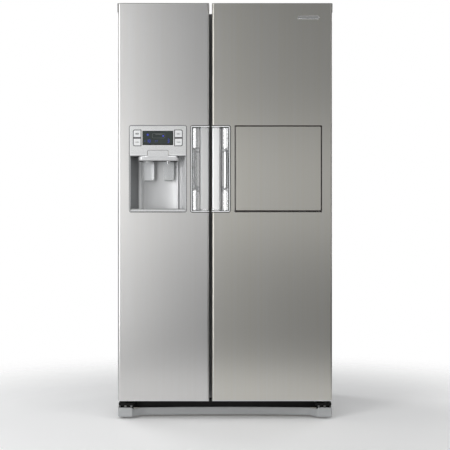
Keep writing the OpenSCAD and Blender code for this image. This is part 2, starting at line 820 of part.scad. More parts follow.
// The aluminium grip, which wraps round the door's free edge and is bevelled towards its finger pocket
module handle_grip(s) {
    z = [handle_z[0] + 2, handle_z[1] - 2];
    front = door_front - trim_proud;
    side_y = door_front + 25.5; // the grip's side ends at the pocket's wall
    corner = 6; // radius of the grip's free edge
    web = 3; // thickness of its side
    back_y = door_front + 4.5;
    bevel = [6.5, 5]; // width and depth of the bevel
    color("lightgray") at_gap(s) translate([0, 0, z[0]]) linear_extrude(z[1] - z[0]) polygon(concat(
        [[grip_u[0], side_y]],
        [for (i = [0:5]) [grip_u[0] + corner - corner * cos(18 * i), front + corner - corner * sin(18 * i)]],
        [[grip_u[1] - bevel[0], front], [grip_u[1], front + bevel[1]], [grip_u[1], back_y],
         [grip_u[0] + web + 2, back_y], [grip_u[0] + web, back_y + 2], [grip_u[0] + web, side_y]]));
}

// ---- dispenser ----

module dispenser_housing() {
    depth = door_front + disp_depth;
    color("gray") {
        difference() {
            union() {
                translate([0, 0, disp_z[0] + 1.4]) linear_extrude(fascia_z0 - disp_z[0] - 1.4)
                    recess_outline(3, depth + 3);
                block([disp_x[0] + 1.5, disp_x[1] - 1.5], [door_front + skin_t, door_front + 40],
                      [fascia_z0 - 3, disp_z[1] - 1.5]);
            }
            translate([0, 0, disp_z[0] + 4.4]) linear_extrude(fascia_z0 - disp_z[0] - 7.4)
                recess_outline(0, depth);
            block([disp_x[0] + 3.4, disp_x[1] - 3.4], [door_front, door_front + 37],
                  [fascia_z0, disp_z[1] - 3.4]);
        }
        ring_y(disp_x, [door_front - 1, door_front], disp_z, 3.4, 9);
        ring_y([disp_x[0] + 1.5, disp_x[1] - 1.5], [door_front - 0.5, door_front + skin_t + 0.5],
               [disp_z[0] + 1.5, disp_z[1] - 1.5], 2, 7);
        for (x = lever_x, e = [-1, 1]) difference() {
            inner = x + e * (lever_w / 2 + 0.6);
            block([min(inner, inner + 4 * e), max(inner, inner + 4 * e)],
                  [lever_pivot_y - 6, depth + 1], [lever_pivot_z - 6, fascia_z0 - 2]);
            rod_x([x - 40, x + 40], lever_pivot_y, lever_pivot_z, lever_pin_r + pin_clear);
        }
    }
}

module dispenser_panel() {
    x = [disp_x[0] + 3.6, disp_x[1] - 3.6];
    z = [fascia_z0, disp_z[1] - 3.6];
    color("gainsboro") difference() {
        plate_y(x, [door_front - 1.4, door_front + 8], z, 5);
        block([x[0] + 2, x[1] - 2], [door_front + 1.6, door_front + 9], [z[0] + 2, z[1] - 2]);
        block(window_x, [door_front - 3, door_front + 3], window_z);
        for (bx = button_x, bz = button_z)
            block([bx[0] - button_clear, bx[1] + button_clear], [door_front - 3, door_front + 3],
                  [bz[0] - button_clear, bz[1] + button_clear]);
        block(tab_x, [door_front - 3, door_front + 9], [fascia_z0 - eps, fascia_z0 + tab_h]);
    }
}

module display_window() {
    color("black") block(window_x, [door_front - 1, door_front + 2], window_z);
}

module button(column, row) {
    color("gainsboro") plate_y(button_x[column], [door_front - 2, door_front + 3], button_z[row], 4);
}

// The bright lip over the recess, with the ice chute and the water nozzle under it
module dispenser_canopy() {
    lip_z = [fascia_z0 - 24, fascia_z0 - 3];
    front = door_front - 1.8;
    color("whitesmoke") {
        block(tab_x, [front, door_front + 6], [fascia_z0, fascia_z0 + tab_h]);
        block(tab_x, [front, door_front + skin_t], [lip_z[1] - 2, fascia_z0 + 1]);
        plate_z(canopy_x, [front, door_front + 56], lip_z, 16);
        difference() {
            rod_z(lever_x[0], door_front + 34, [lip_z[0] - 8, lip_z[0] + 2], 21);
            rod_z(lever_x[0], door_front + 34, [lip_z[0] - 9, lip_z[0] + 1], 18);
        }
        rod_z(lever_x[1], door_front + 34, [lip_z[0] - 14, lip_z[0] + 2], 6);
    }
}

// A paddle that hangs from its own pin and is pushed back by a glass
module lever(x) {
    half = lever_w / 2;
    color("white") {
        rod_x([x - half, x + half], lever_pivot_y, lever_pivot_z, 5);
        rod_x([x - half - 4, x + half + 4], lever_pivot_y, lever_pivot_z, lever_pin_r);
        plate_y([x - half, x + half], [lever_pivot_y - 2, lever_pivot_y + 2],
                [lever_bottom, lever_pivot_z], 14);
    }
}

module drip_tray() {
    x = [disp_x[0] + 8, disp_x[1] - 8];
    y = [door_front + 3, door_front + 14];
    z = [disp_z[0] + 4.8, disp_z[0] + 15];
    back_x = [disp_back_x[0] - 1, disp_back_x[1] + 1];
    color("gray") difference() {
        translate([0, 0, z[0]]) linear_extrude(z[1] - z[0])
            polygon([[x[0], y[0]], [x[1], y[0]], [x[1], y[1]], [back_x[1], door_front + disp_depth - 9],
                     [back_x[0], door_front + disp_depth - 9], [x[0], y[1]]]);
        for (i = [0:9]) block([-362 + 17 * i, -352 + 17 * i], [door_front + 12, door_front + disp_depth - 16],
                              [z[0] + 3, z[1] + eps]);
    }
}

// ---- home bar ----

module bar_frame_envelope() {
    block([bar_hole_x[0] - bar_frame_w, bar_hole_x[1] + bar_frame_w], [door_front + skin_t, door_front + 60],
          [bar_hole_z[0] - 10, bar_hole_z[1] + 10]);
}

// The frame that the panel closes into, and the case behind it that holds the bottles
module homebar_case() {
    y1 = door_back + bin_deep;
    tunnel_x = [bar_tunnel_x[0] - 4, bar_tunnel_x[1] + 4];
    tunnel_z = [bar_tunnel_z[0] - 4, bar_tunnel_z[1] + 4];
    color("whitesmoke") {
        difference() {
            union() {
                bar_frame_envelope();
                block(tunnel_x, [door_front + 50, y1], tunnel_z);
            }
            block(bar_hole_x, [door_front, door_front + bar_t + 3], bar_hole_z);
            block(bar_tunnel_x, [door_front, y1 - 3], bar_tunnel_z);
            block([bar_tunnel_x[0] + 16, bar_tunnel_x[1] - 16], [door_front, y1 + eps],
                  [bar_tunnel_z[0] + 60, bar_tunnel_z[0] + 165]);
            block([bar_tunnel_x[0] + 16, bar_tunnel_x[1] - 16], [door_front, y1 + eps],
                  [bar_tunnel_z[0] + 215, bar_tunnel_z[1] - 16]);
            rod_x([bar_hole_x[0] - 8, bar_hole_x[1] + 8], bar_pivot_y, bar_pivot_z, bar_pin_r + pin_clear);
        }
        block(bar_tunnel_x, [door_front + 62, y1 - 3], [bar_tunnel_z[0] + 180, bar_tunnel_z[0] + 184]);
    }
}

// The steel front of the fold-down panel
module homebar_door() {
    color("silver") difference() {
        block(bar_x, [door_front, door_front + 12], bar_panel_z);
        block([bar_x[0] + skin_t, bar_x[1] - skin_t], [door_front + skin_t, door_front + 13],
              [bar_panel_z[0] + skin_t, bar_panel_z[1] - skin_t]);
        rod_x([bar_x[0] - 5, bar_x[1] + 5], bar_pivot_y, bar_pivot_z, bar_pin_r);
    }
}

// The moulded back of that panel, which is a table when it is open
module homebar_tray() {
    x = [bar_x[0] + skin_t, bar_x[1] - skin_t];
    z = [bar_panel_z[0] + skin_t, bar_panel_z[1] - skin_t];
    color("white") {
        difference() {
            block(x, [door_front + skin_t, door_front + bar_t], z);
            block([x[0] + 2.5, x[1] - 2.5], [door_front, door_front + bar_t - 5], [z[0] + 8, z[1] - 2.5]);
            plate_y([x[0] + 22, x[1] - 22], [door_front + bar_t - 2, door_front + bar_t + eps],
                    [z[0] + 22, z[1] - 22], 12);
        }
        rod_x([x[0] - 9, x[1] + 9], bar_pivot_y, bar_pivot_z, bar_pin_r);
    }
}

outer_case();
face_frame();
rear_panels();
insulation();
liner(LEFT);  // freezer_liner
liner(RIGHT);  // fridge_liner
base_frame();
kick_plate();
upper_hinges();
hinge_covers();
lower_hinges();
compressor();
condenser();
fan_motor();
condenser_fan();
power_inlet();
water_valve();
roller(LEFT);  // roller_left
roller(RIGHT);  // roller_right
foot(LEFT);  // foot_left
foot(RIGHT);  // foot_right
duct_covers();
freezer_shelves();
ice_maker();
ice_bucket();
freezer_drawer_upper();
freezer_drawer_lower();
fridge_shelves();
crisper_upper();
crisper_lower();
door_skin(LEFT);  // freezer_door_skin
door_liner(LEFT);  // freezer_door_liner
door_foam(LEFT);  // freezer_door_foam
door_caps(LEFT);  // freezer_door_caps
door_gasket(LEFT);  // freezer_door_gasket
door_bins(LEFT, freezer_bin_z);  // freezer_door_bins
handle_pocket(LEFT);  // freezer_handle
handle_grip(LEFT);  // freezer_grip
dispenser_housing();
dispenser_panel();
display_window();
dispenser_canopy();
lever(lever_x[0]);  // ice_lever
lever(lever_x[1]);  // water_lever
drip_tray();
button(0, 0);  // button_upper_left
button(0, 1);  // button_lower_left
button(1, 0);  // button_upper_right
button(1, 1);  // button_lower_right
door_skin(RIGHT);  // fridge_door_skin
door_liner(RIGHT);  // fridge_door_liner
door_foam(RIGHT);  // fridge_door_foam
door_caps(RIGHT);  // fridge_door_caps
door_gasket(RIGHT);  // fridge_door_gasket
door_bins(RIGHT, fridge_bin_z);  // fridge_door_bins
handle_pocket(RIGHT);  // fridge_handle
handle_grip(RIGHT);  // fridge_grip
homebar_case();
homebar_door();
homebar_tray();
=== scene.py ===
import math

import bmesh
import bpy
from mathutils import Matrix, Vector


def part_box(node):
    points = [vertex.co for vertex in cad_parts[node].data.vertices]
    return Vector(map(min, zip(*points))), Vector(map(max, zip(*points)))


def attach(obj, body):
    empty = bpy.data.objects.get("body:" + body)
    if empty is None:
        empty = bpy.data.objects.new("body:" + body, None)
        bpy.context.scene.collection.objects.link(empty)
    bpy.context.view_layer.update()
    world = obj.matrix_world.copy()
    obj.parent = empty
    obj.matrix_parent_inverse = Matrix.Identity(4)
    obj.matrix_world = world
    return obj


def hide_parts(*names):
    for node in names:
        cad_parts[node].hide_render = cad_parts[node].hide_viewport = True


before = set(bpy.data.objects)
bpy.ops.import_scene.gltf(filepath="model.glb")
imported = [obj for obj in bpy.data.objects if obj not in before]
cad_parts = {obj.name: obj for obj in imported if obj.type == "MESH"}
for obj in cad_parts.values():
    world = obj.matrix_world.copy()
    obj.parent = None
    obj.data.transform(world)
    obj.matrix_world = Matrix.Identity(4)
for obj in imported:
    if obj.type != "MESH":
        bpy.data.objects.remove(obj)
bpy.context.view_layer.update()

# Sizes are in millimetres, in the CAD model's frame: X to the right, Y from the doors to the back, Z up.
MM = 0.001
LEFT, RIGHT = -1, 1


def extent(node):
    """The X, Y and Z ranges of a CAD node at rest, in millimetres"""
    low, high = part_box(node)
    return [(low[i] / MM, high[i] / MM) for i in range(3)]


def grow(span, by):
    """A range made longer by the same amount at both ends"""
    return span[0] - by, span[1] + by


def middle(span):
    return (span[0] + span[1]) / 2


left_skin, right_skin = extent("freezer_door_skin"), extent("fridge_door_skin")
FRONT = left_skin[1][0]                    # the steel fronts of both doors
CAB_FRONT = extent("face_frame")[1][0]
GAP_X = (left_skin[0][1] + right_skin[0][0]) / 2
LINER_T = 2
CAVITY_X = {LEFT: grow(extent("freezer_liner")[0], -LINER_T),
            RIGHT: grow(extent("fridge_liner")[0], -LINER_T)}
CAVITY_Z = grow(extent("fridge_liner")[2], -LINER_T)
CABIN = {LEFT: "freezer", RIGHT: "fridge"}
BODY = {LEFT: "freezer_door", RIGHT: "fridge_door"}
SIDE_NAME = {LEFT: "left", RIGHT: "right"}

# ---- camera, floor and light ----

VIEW_DISTANCE = 4500
EYE_HEIGHT = 825


def make_camera():
    data = bpy.data.cameras.new("camera")
    data.lens = 85
    data.sensor_width = 36
    camera = bpy.data.objects.new("camera", data)
    camera.location = Vector((0, FRONT - VIEW_DISTANCE, EYE_HEIGHT)) * MM
    camera.rotation_euler = (math.radians(90), 0, 0)
    bpy.context.scene.collection.objects.link(camera)
    bpy.context.scene.camera = camera


def node_of(tree, kind, **values):
    """A new shader node with its named sockets set"""
    node = tree.nodes.new("ShaderNode" + kind)
    for socket, value in values.items():
        node.inputs[socket.replace("_", " ")].default_value = value
    return node


def make_world(left, right, backdrop):
    """Dim studio light, stronger on the left, and a white background behind the object"""
    world = bpy.data.worlds.new("studio")
    bpy.context.scene.world = world
    world.use_nodes = True
    tree = world.node_tree
    tree.nodes.clear()
    output = tree.nodes.new("ShaderNodeOutputWorld")
    mix = tree.nodes.new("ShaderNodeMixShader")
    path = tree.nodes.new("ShaderNodeLightPath")
    lit = tree.nodes.new("ShaderNodeBackground")
    seen = tree.nodes.new("ShaderNodeBackground")
    lit.inputs["Color"].default_value = (0.97, 0.985, 1, 1)
    sky = tree.nodes.new("ShaderNodeTexCoord").outputs["Generated"]
    apart = tree.nodes.new("ShaderNodeSeparateXYZ")
    fall = node_of(tree, "MapRange", From_Min=-1, From_Max=1, To_Min=left, To_Max=right)
    tree.links.new(sky, apart.inputs["Vector"])
    tree.links.new(apart.outputs["X"], fall.inputs["Value"])
    tree.links.new(fall.outputs["Result"], lit.inputs["Strength"])
    seen.inputs["Color"].default_value = (1, 1, 1, 1)
    seen.inputs["Strength"].default_value = backdrop
    tree.links.new(path.outputs["Is Camera Ray"], mix.inputs["Fac"])
    tree.links.new(lit.outputs[0], mix.inputs[1])
    tree.links.new(seen.outputs[0], mix.inputs[2])
    tree.links.new(mix.outputs[0], output.inputs["Surface"])


def softbox(name, place, target, size, radiance, colour=(1, 1, 1)):
    """A rectangular light in metres that faces a target"""
    data = bpy.data.lights.new(name, "AREA")
    data.shape = "RECTANGLE"
    data.size, data.size_y = size
    data.energy = radiance * math.pi * size[0] * size[1]
    data.color = colour
    light = bpy.data.objects.new(name, data)
    light.location = place
    light.rotation_euler = (Vector(target) - Vector(place)).to_track_quat("-Z", "Y").to_euler()
    light.visible_camera = False
    bpy.context.scene.collection.objects.link(light)


def make_lights():
    softbox("key_left", (-1.9, -3.2, 1.3), (-0.3, -0.3, 0.98), (1.3, 2.9), 4.3)
    softbox("front_panel", (0, -6.2, 1.2), (0, -0.3, 1.2), (7, 1.1), 0.30, (1, 0.99, 0.96))
    softbox("fill_top", (0.2, -1.6, 3.6), (0, -0.5, 0.9), (2.6, 1.2), 3.4)
    softbox("strip_right", (2.3, -2.3, 1.5), (0, -0.3, 1.1), (0.45, 2.2), 2.2)
    softbox("back_left", (-2.6, 2.6, 2.2), (0, 0, 0.9), (1.8, 2.2), 4.0)
    softbox("back_right", (2.6, 3.0, 1.6), (0, 0, 0.9), (1.6, 2.2), 3.0)


def make_floor(reach, solid):
    """A plain pale floor that fades into the white background between solid and reach from its middle"""
    corners = ((-reach, -reach), (reach, -reach), (reach, reach), (-reach, reach))
    mesh = bmesh.new()
    mesh.faces.new([mesh.verts.new((x, y, 0)) for x, y in corners])
    data = bpy.data.meshes.new("floor")
    mesh.to_mesh(data)
    mesh.free()
    paint = bpy.data.materials.new("floor_white")
    paint.use_nodes = True
    tree = paint.node_tree
    shader = tree.nodes["Principled BSDF"]
    shader.inputs["Base Color"].default_value = (0.95, 0.95, 0.95, 1)
    shader.inputs["Roughness"].default_value = 0.6
    shader.inputs["Emission Color"].default_value = (1, 1, 1, 1)
    shader.inputs["Emission Strength"].default_value = 0.10
    where = tree.nodes.new("ShaderNodeTexCoord").outputs["Object"]
    length = tree.nodes.new("ShaderNodeVectorMath")
    length.operation = "LENGTH"
    fade = node_of(tree, "MapRange", From_Min=solid, From_Max=reach, To_Min=1, To_Max=0)
    fade.interpolation_type = "SMOOTHSTEP"
    tree.links.new(where, length.inputs[0])
    tree.links.new(length.outputs["Value"], fade.inputs["Value"])
    tree.links.new(fade.outputs["Result"], shader.inputs["Alpha"])
    data.materials.append(paint)
    floor = bpy.data.objects.new("floor", data)
    floor.location = (0, FRONT * MM, 0)
    bpy.context.scene.collection.objects.link(floor)


bpy.context.scene.view_settings.view_transform = "Standard"
make_camera()
make_world(left=0.34, right=0.10, backdrop=1.0)
make_lights()
make_floor(reach=2.4, solid=0.9)

# ---- materials ----


def noise_of(tree, coordinates, stretch, scale, detail):
    """Noise in the object's own space, stretched by a factor along each axis"""
    mapping = node_of(tree, "Mapping", Scale=stretch)
    noise = node_of(tree, "TexNoise", Scale=scale, Detail=detail)
    tree.links.new(coordinates, mapping.inputs["Vector"])
    tree.links.new(mapping.outputs["Vector"], noise.inputs["Vector"])
    return noise.outputs["Fac"]


def spread_of(tree, factor, low, high):
    """The middle of a noise's range, spread over low to high"""
    spread = node_of(tree, "MapRange", From_Min=0.3, From_Max=0.7, To_Min=low, To_Max=high)
    tree.links.new(factor, spread.inputs["Value"])
    return spread.outputs["Result"]


def material(name, slot, colour, roughness, metallic=0.0, grain=400, stretch=(1, 1, 1), tone=0.05,
             vary=0.05, bump=0.05, depth=0.1, broad=6, broad_stretch=(1, 1, 1), broad_tone=0.04,
             tint=(1, 1, 1), tangent=None, **fixed):
    """A surface whose colour, gloss and relief vary with a fine grain and a broad drift.

    tone and broad_tone are how far the colour drifts, vary how far the roughness does, depth the relief in
    millimetres, and fixed holds sockets that are the same all over."""
    surface = bpy.data.materials.new(name)
    surface.use_nodes = True
    surface.diffuse_color = (*colour, 1)
    surface["slot"] = slot
    tree = surface.node_tree
    shader = tree.nodes["Principled BSDF"]
    where = tree.nodes.new("ShaderNodeTexCoord").outputs["Object"]
    fine = noise_of(tree, where, stretch, grain, 3)
    wide = noise_of(tree, where, broad_stretch, broad, 2)
    base = tree.nodes.new("ShaderNodeMix")
    base.data_type = "RGBA"
    base.inputs["A"].default_value = (*[c * (1 - tone) for c in colour], 1)
    base.inputs["B"].default_value = (*[min(c * (1 + tone), 1) for c in colour], 1)
    drift = tree.nodes.new("ShaderNodeMix")
    drift.data_type = "RGBA"
    drift.blend_type = "MULTIPLY"
    drift.inputs["B"].default_value = (*[(1 - 2 * broad_tone) * t for t in tint], 1)
    tree.links.new(spread_of(tree, fine, 0, 1), base.inputs["Factor"])
    tree.links.new(spread_of(tree, wide, 0, 1), drift.inputs["Factor"])
    tree.links.new(base.outputs["Result"], drift.inputs["A"])
    tree.links.new(drift.outputs["Result"], shader.inputs["Base Color"])
    tree.links.new(spread_of(tree, fine, max(roughness - vary, 0.02), min(roughness + vary, 1)),
                   shader.inputs["Roughness"])
    relief = node_of(tree, "Bump", Strength=bump, Distance=depth * MM)
    tree.links.new(fine, relief.inputs["Height"])
    tree.links.new(relief.outputs["Normal"], shader.inputs["Normal"])
    shader.inputs["Metallic"].default_value = metallic
    for socket, value in fixed.items():
        shader.inputs[socket.replace("_", " ")].default_value = value
    if tangent:
        line = tree.nodes.new("ShaderNodeTangent")
        line.direction_type = "RADIAL"
        line.axis = tangent
        tree.links.new(line.outputs["Tangent"], shader.inputs["Tangent"])
    return surface


UPRIGHT = (1, 1, 0.004)      # grain drawn out along Z
FLAT = (0.004, 1, 1)         # grain drawn out along X


def brushed(name, slot, colour, roughness, **more):
    """Steel brushed upwards: fine scratches, broad streaks and a highlight that spreads sideways"""
    settings = dict(metallic=1, grain=700, stretch=UPRIGHT, tone=0.012, vary=0.005, bump=0.006, depth=0.03,
                    broad=60, broad_stretch=UPRIGHT, broad_tone=0.004, Anisotropic=0.75, tangent="Z")
    settings.update(more)
    return material(name, slot, colour, roughness, **settings)


def plastic(name, slot, colour, roughness, **more):
    """Moulded plastic with a fine spark-eroded texture"""
    settings = dict(grain=900, tone=0.03, vary=0.05, bump=0.08, depth=0.05, broad=9, broad_tone=0.02)
    settings.update(more)
    return material(name, slot, colour, roughness, **settings)


STEEL_LEFT = brushed("steel_left", "door_steel", (0.63, 0.625, 0.62), 0.28, tint=(1, 0.995, 0.985))
# the right door's steel is a little darker than the left door's: painted shade; its warmer tint is the
# steel's own tone
STEEL_RIGHT = brushed("steel_right", "door_steel", (0.60, 0.59, 0.56), 0.28, tint=(1, 0.99, 0.95))
GRIP = brushed("grip_brushed", "grip_aluminium", (0.87, 0.87, 0.87), 0.30, grain=1000, tone=0.02, vary=0.01)
# near-white plastic: the frame trim round each handle pocket, and lit copies of the recess silver that are
# painted highlights on the recess's right wall, left chamfer and sill
BRIGHT_TRIM_AND_PAINTED_HIGHLIGHT = plastic("bright_trim_and_painted_highlight", "pocket_chrome", (0.97, 0.975, 0.98), 0.3, metallic=0.1, tone=0.01,
                       bump=0.02)
CHROME = material("satin_chrome", "pocket_chrome", (0.88, 0.885, 0.89), 0.24, 1, grain=500, stretch=UPRIGHT,
                  tone=0.01, vary=0.015, bump=0.004, broad=12, broad_stretch=UPRIGHT, broad_tone=0.01)
SILVER = plastic("silver_paint", "dispenser_silver", (0.66, 0.665, 0.665), 0.30, metallic=0.35,
                 Coat_Weight=0.35, Coat_Roughness=0.12)
RECESS = plastic("recess_silver", "dispenser_silver", (0.66, 0.665, 0.67), 0.46, metallic=0.5, bump=0.02)
FASCIA = plastic("fascia_silver", "dispenser_silver", (0.84, 0.845, 0.845), 0.30, metallic=0.45, tone=0.01,
                 bump=0.02, Coat_Weight=0.5, Coat_Roughness=0.08)
# a darker copy of the recess silver, for the recess's left wall: painted shade
WALL_SHADE = plastic("wall_shade", "dispenser_silver", (0.30, 0.305, 0.31), 0.42, metallic=0.5, bump=0.01)
# near-black plastic for dark trims, also used as painted shade on the recess ceiling and as the painted
# shadow line round the canopy
DARK_TRIM_AND_PAINTED_SHADE = plastic("dark_trim_and_painted_shade", "cap_grey", (0.06, 0.06, 0.062), 0.45)
# near-black: painted shadow in the seams round the handle frames and the dispenser
SEAM_PAINTED_SHADOW = plastic("seam_shadow", "seal_grey", (0.012, 0.012, 0.012), 0.7, Specular_IOR_Level=0.2)
# dark brown: the home bar's seal, and painted shade in the sleeve lining its pocket and the ring round its
# panel
SEAL_AND_PAINTED_SHADE = plastic("brown_seal_and_painted_shade", "seal_grey", (0.020, 0.012, 0.010), 0.65, Specular_IOR_Level=0.2)
KEY = plastic("key_white", "dispenser_silver", (0.93, 0.935, 0.94), 0.32, Coat_Weight=0.4, Coat_Roughness=0.1)
KEY_MARK = plastic("key_mark", "cap_grey", (0.05, 0.05, 0.052), 0.5)
DISPLAY = material("display_glass", "display_black", (0.036, 0.047, 0.043), 0.16, grain=700, tone=0.10,
                   vary=0.03, bump=0.01, broad=25, broad_tone=0.08, Coat_Weight=0.3, Coat_Roughness=0.05)
DISPLAY_EDGE = material("display_edge", "display_black", (0.006, 0.007, 0.007), 0.22, grain=700, tone=0.1,
                        vary=0.04, bump=0.01, broad=25, broad_tone=0.05)
GLOW = plastic("display_blue", "display_black", (0.03, 0.04, 0.35), 0.4, Emission_Color=(0.06, 0.09, 1, 1),
               Emission_Strength=0.42)
GLOW_GREY = plastic("display_grey", "display_black", (0.16, 0.17, 0.17), 0.4)
CANOPY = plastic("canopy_white", "canopy_white", (0.84, 0.845, 0.85), 0.24, metallic=0.35, bump=0.01,
                 Coat_Weight=0.6, Coat_Roughness=0.08)
LEVER_ICE = plastic("lever_chrome", "lever_clear", (0.66, 0.67, 0.68), 0.46, metallic=0.35, bump=0.01)
LEVER_WATER = plastic("lever_frost", "lever_clear", (0.86, 0.87, 0.875), 0.30, tone=0.01, bump=0.01,
                      Transmission_Weight=0.35, IOR=1.20)
GRATE = plastic("grate_grey", "tray_grey", (0.42, 0.425, 0.425), 0.38, metallic=0.3)
BLACK = material("black_enamel", "black_steel", (0.004, 0.004, 0.004), 0.5, grain=300, tone=0.2, vary=0.08,
                 bump=0.15, broad=8, broad_tone=0.1, Specular_IOR_Level=0.2)
KICK = plastic("kick_grey", "kick_grey", (0.44, 0.45, 0.455), 0.38, grain=1100, bump=0.12)
CAP = plastic("cap_grey", "cap_grey", (0.24, 0.24, 0.235), 0.40)
EAR = plastic("ear_grey", "cap_grey", (0.44, 0.44, 0.435), 0.42)
COVER = plastic("cover_grey", "cover_grey", (0.36, 0.36, 0.355), 0.45, grain=700, bump=0.2, depth=0.15)
SCREW = material("screw_zinc", "hinge_steel", (0.72, 0.72, 0.70), 0.28, 1, grain=900, tone=0.08, vary=0.08,
                 bump=0.1, broad=40)
HINGE = material("hinge_zinc", "hinge_steel", (0.60, 0.60, 0.58), 0.34, 1, grain=500, tone=0.08, vary=0.1,
                 bump=0.1, broad=14, broad_tone=0.08)
PAINT = material("case_paint", "case_paint", (0.48, 0.485, 0.49), 0.42, grain=260, tone=0.04, vary=0.06,
                 bump=0.35, depth=0.25, broad=3, broad_tone=0.03, Coat_Weight=0.15, Coat_Roughness=0.3)
FRAME_PAINT = material("frame_paint", "frame_paint", (0.30, 0.30, 0.305), 0.40, grain=300, bump=0.15, broad=5)
ZINC = material("zinc_sheet", "zinc_sheet", (0.58, 0.59, 0.60), 0.42, 0.9, grain=60, tone=0.10, vary=0.10,
                bump=0.04, broad=14, broad_tone=0.08)
FOAM = material("foam_yellow", "foam", (0.80, 0.70, 0.45), 0.9, grain=350, tone=0.10, vary=0.05, bump=0.6,
                depth=0.5, broad=20, broad_tone=0.08)
LINER = plastic("liner_white", "liner_white", (0.84, 0.85, 0.855), 0.26, grain=500, bump=0.04,
                Coat_Weight=0.2, Coat_Roughness=0.15)
SHELF = plastic("shelf_white", "shelf_white", (0.80, 0.815, 0.825), 0.3)
ICE_WHITE = plastic("ice_white", "ice_white", (0.74, 0.76, 0.775), 0.36)
GLASS = material("shelf_glass", "shelf_glass", (0.86, 0.96, 0.93), 0.04, grain=30, tone=0.01, vary=0.01,
                 bump=0.005, broad=4, broad_tone=0.01, Transmission_Weight=0.92, IOR=1.50)
CLEAR = plastic("clear_plastic", "clear_plastic", (0.94, 0.97, 0.985), 0.09, vary=0.02, bump=0.01,
                broad_tone=0.01, Transmission_Weight=0.88, IOR=1.30)
SMOKE = plastic("smoke_plastic", "clear_plastic", (0.62, 0.72, 0.78), 0.12, vary=0.03, bump=0.02,
                Transmission_Weight=0.70, IOR=1.35)
RUBBER = plastic("seal_rubber", "seal_grey", (0.25, 0.25, 0.252), 0.62, grain=600)
FIN = material("fin_aluminium", "condenser_black", (0.60, 0.61, 0.62), 0.35, 1, grain=300, tone=0.08,
               vary=0.1, broad=20, broad_tone=0.15)
COPPER = material("copper_pipe", "condenser_black", (0.78, 0.42, 0.25), 0.30, 1, grain=200, tone=0.12,
                  vary=0.1, broad=15, broad_tone=0.12)
COMPRESSOR = material("compressor_enamel", "compressor_black", (0.014, 0.014, 0.015), 0.30, grain=180,
                      tone=0.2, vary=0.08, bump=0.3, broad=10, broad_tone=0.15)
MOTOR = material("motor_steel", "motor_steel", (0.50, 0.50, 0.51), 0.38, 1, grain=300, tone=0.1, vary=0.1,
                 broad=15)
FAN = plastic("fan_plastic", "fan_plastic", (0.70, 0.72, 0.73), 0.4)
SOCKET = plastic("inlet_black", "inlet_black", (0.018, 0.018, 0.019), 0.5, bump=0.2)
VALVE = plastic("valve_white", "valve_white", (0.76, 0.78, 0.80), 0.4)
NYLON = plastic("roller_nylon", "roller_nylon", (0.06, 0.06, 0.062), 0.5, bump=0.2)
FOOT = plastic("foot_black", "foot_black", (0.025, 0.025, 0.026), 0.5, bump=0.2)
LAMP = plastic("lamp_lens", "liner_white", (0.92, 0.93, 0.92), 0.35, Emission_Color=(1, 0.97, 0.90, 1),
               Emission_Strength=0.9)
BADGE = brushed("badge_steel", "door_steel", (0.88, 0.88, 0.87), 0.20, grain=1200, stretch=FLAT, broad=40)

CAD_MATERIALS = {
    "outer_case": PAINT, "face_frame": FRAME_PAINT, "rear_panels": ZINC, "insulation": FOAM,
    "freezer_liner": LINER, "fridge_liner": LINER, "base_frame": BLACK, "kick_plate": KICK,
    "upper_hinges": HINGE, "hinge_covers": COVER, "lower_hinges": BLACK, "compressor": COMPRESSOR,
    "condenser": FIN, "fan_motor": MOTOR, "condenser_fan": FAN, "power_inlet": SOCKET, "water_valve": VALVE,
    "roller_left": NYLON, "roller_right": NYLON, "foot_left": FOOT, "foot_right": FOOT,
    "duct_covers": LINER, "freezer_shelves": SHELF, "ice_maker": ICE_WHITE, "ice_bucket": SMOKE,
    "freezer_drawer_upper": CLEAR, "freezer_drawer_lower": CLEAR, "fridge_shelves": GLASS,
    "crisper_upper": CLEAR, "crisper_lower": CLEAR,
    "freezer_door_skin": STEEL_LEFT, "freezer_door_liner": LINER, "freezer_door_foam": FOAM,
    "freezer_door_caps": CAP, "freezer_door_gasket": RUBBER, "freezer_door_bins": CLEAR,
    "freezer_handle": CHROME, "freezer_grip": GRIP, "dispenser_housing": RECESS, "dispenser_panel": FASCIA,
    "display_window": DISPLAY, "dispenser_canopy": CANOPY, "ice_lever": LEVER_ICE, "water_lever": LEVER_WATER,
    "drip_tray": GRATE, "button_upper_left": KEY, "button_lower_left": KEY, "button_upper_right": KEY,
    "button_lower_right": KEY, "fridge_door_skin": STEEL_RIGHT, "fridge_door_liner": LINER,
    "fridge_door_foam": FOAM, "fridge_door_caps": CAP, "fridge_door_gasket": RUBBER,
    "fridge_door_bins": CLEAR, "fridge_handle": CHROME, "fridge_grip": GRIP, "homebar_case": LINER,
    "homebar_door": STEEL_RIGHT,
    "homebar_tray": LINER,
}
for cad_name, cad_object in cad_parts.items():
    cad_object.data.materials.clear()
    cad_object.data.materials.append(CAD_MATERIALS[cad_name])

# ---- shapes ----

SMOOTH_BELOW = 38   # an edge sharper than this many degrees stays crisp


def place(axis, a, b, depth):
    """A point from two coordinates across an axis and one along it"""
    return Vector({"X": (depth, a, b), "Y": (a, depth, b), "Z": (a, b, depth)}[axis]) * MM


def join(mesh, rings, closed=False):
    """Skins a row of rings that have the same number of points, with lids at both ends unless it closes"""
    following = rings[1:] + ([rings[0]] if closed else [])
    for before, after in zip(rings, following):
        for i in range(len(before)):
            j = (i + 1) % len(before)
            mesh.faces.new((before[i], before[j], after[j], after[i]))
    if not closed:
        mesh.faces.new(list(reversed(rings[0])))
        mesh.faces.new(rings[-1])


def ring(mesh, axis, outline, depth):
    return [mesh.verts.new(place(axis, a, b, depth)) for a, b in outline]


def arc(centre, radius, start, stop, steps):
    angles = [math.radians(start + (stop - start) * i / steps) for i in range(steps + 1)]
    return [(centre[0] + radius * math.cos(t), centre[1] + radius * math.sin(t)) for t in angles]


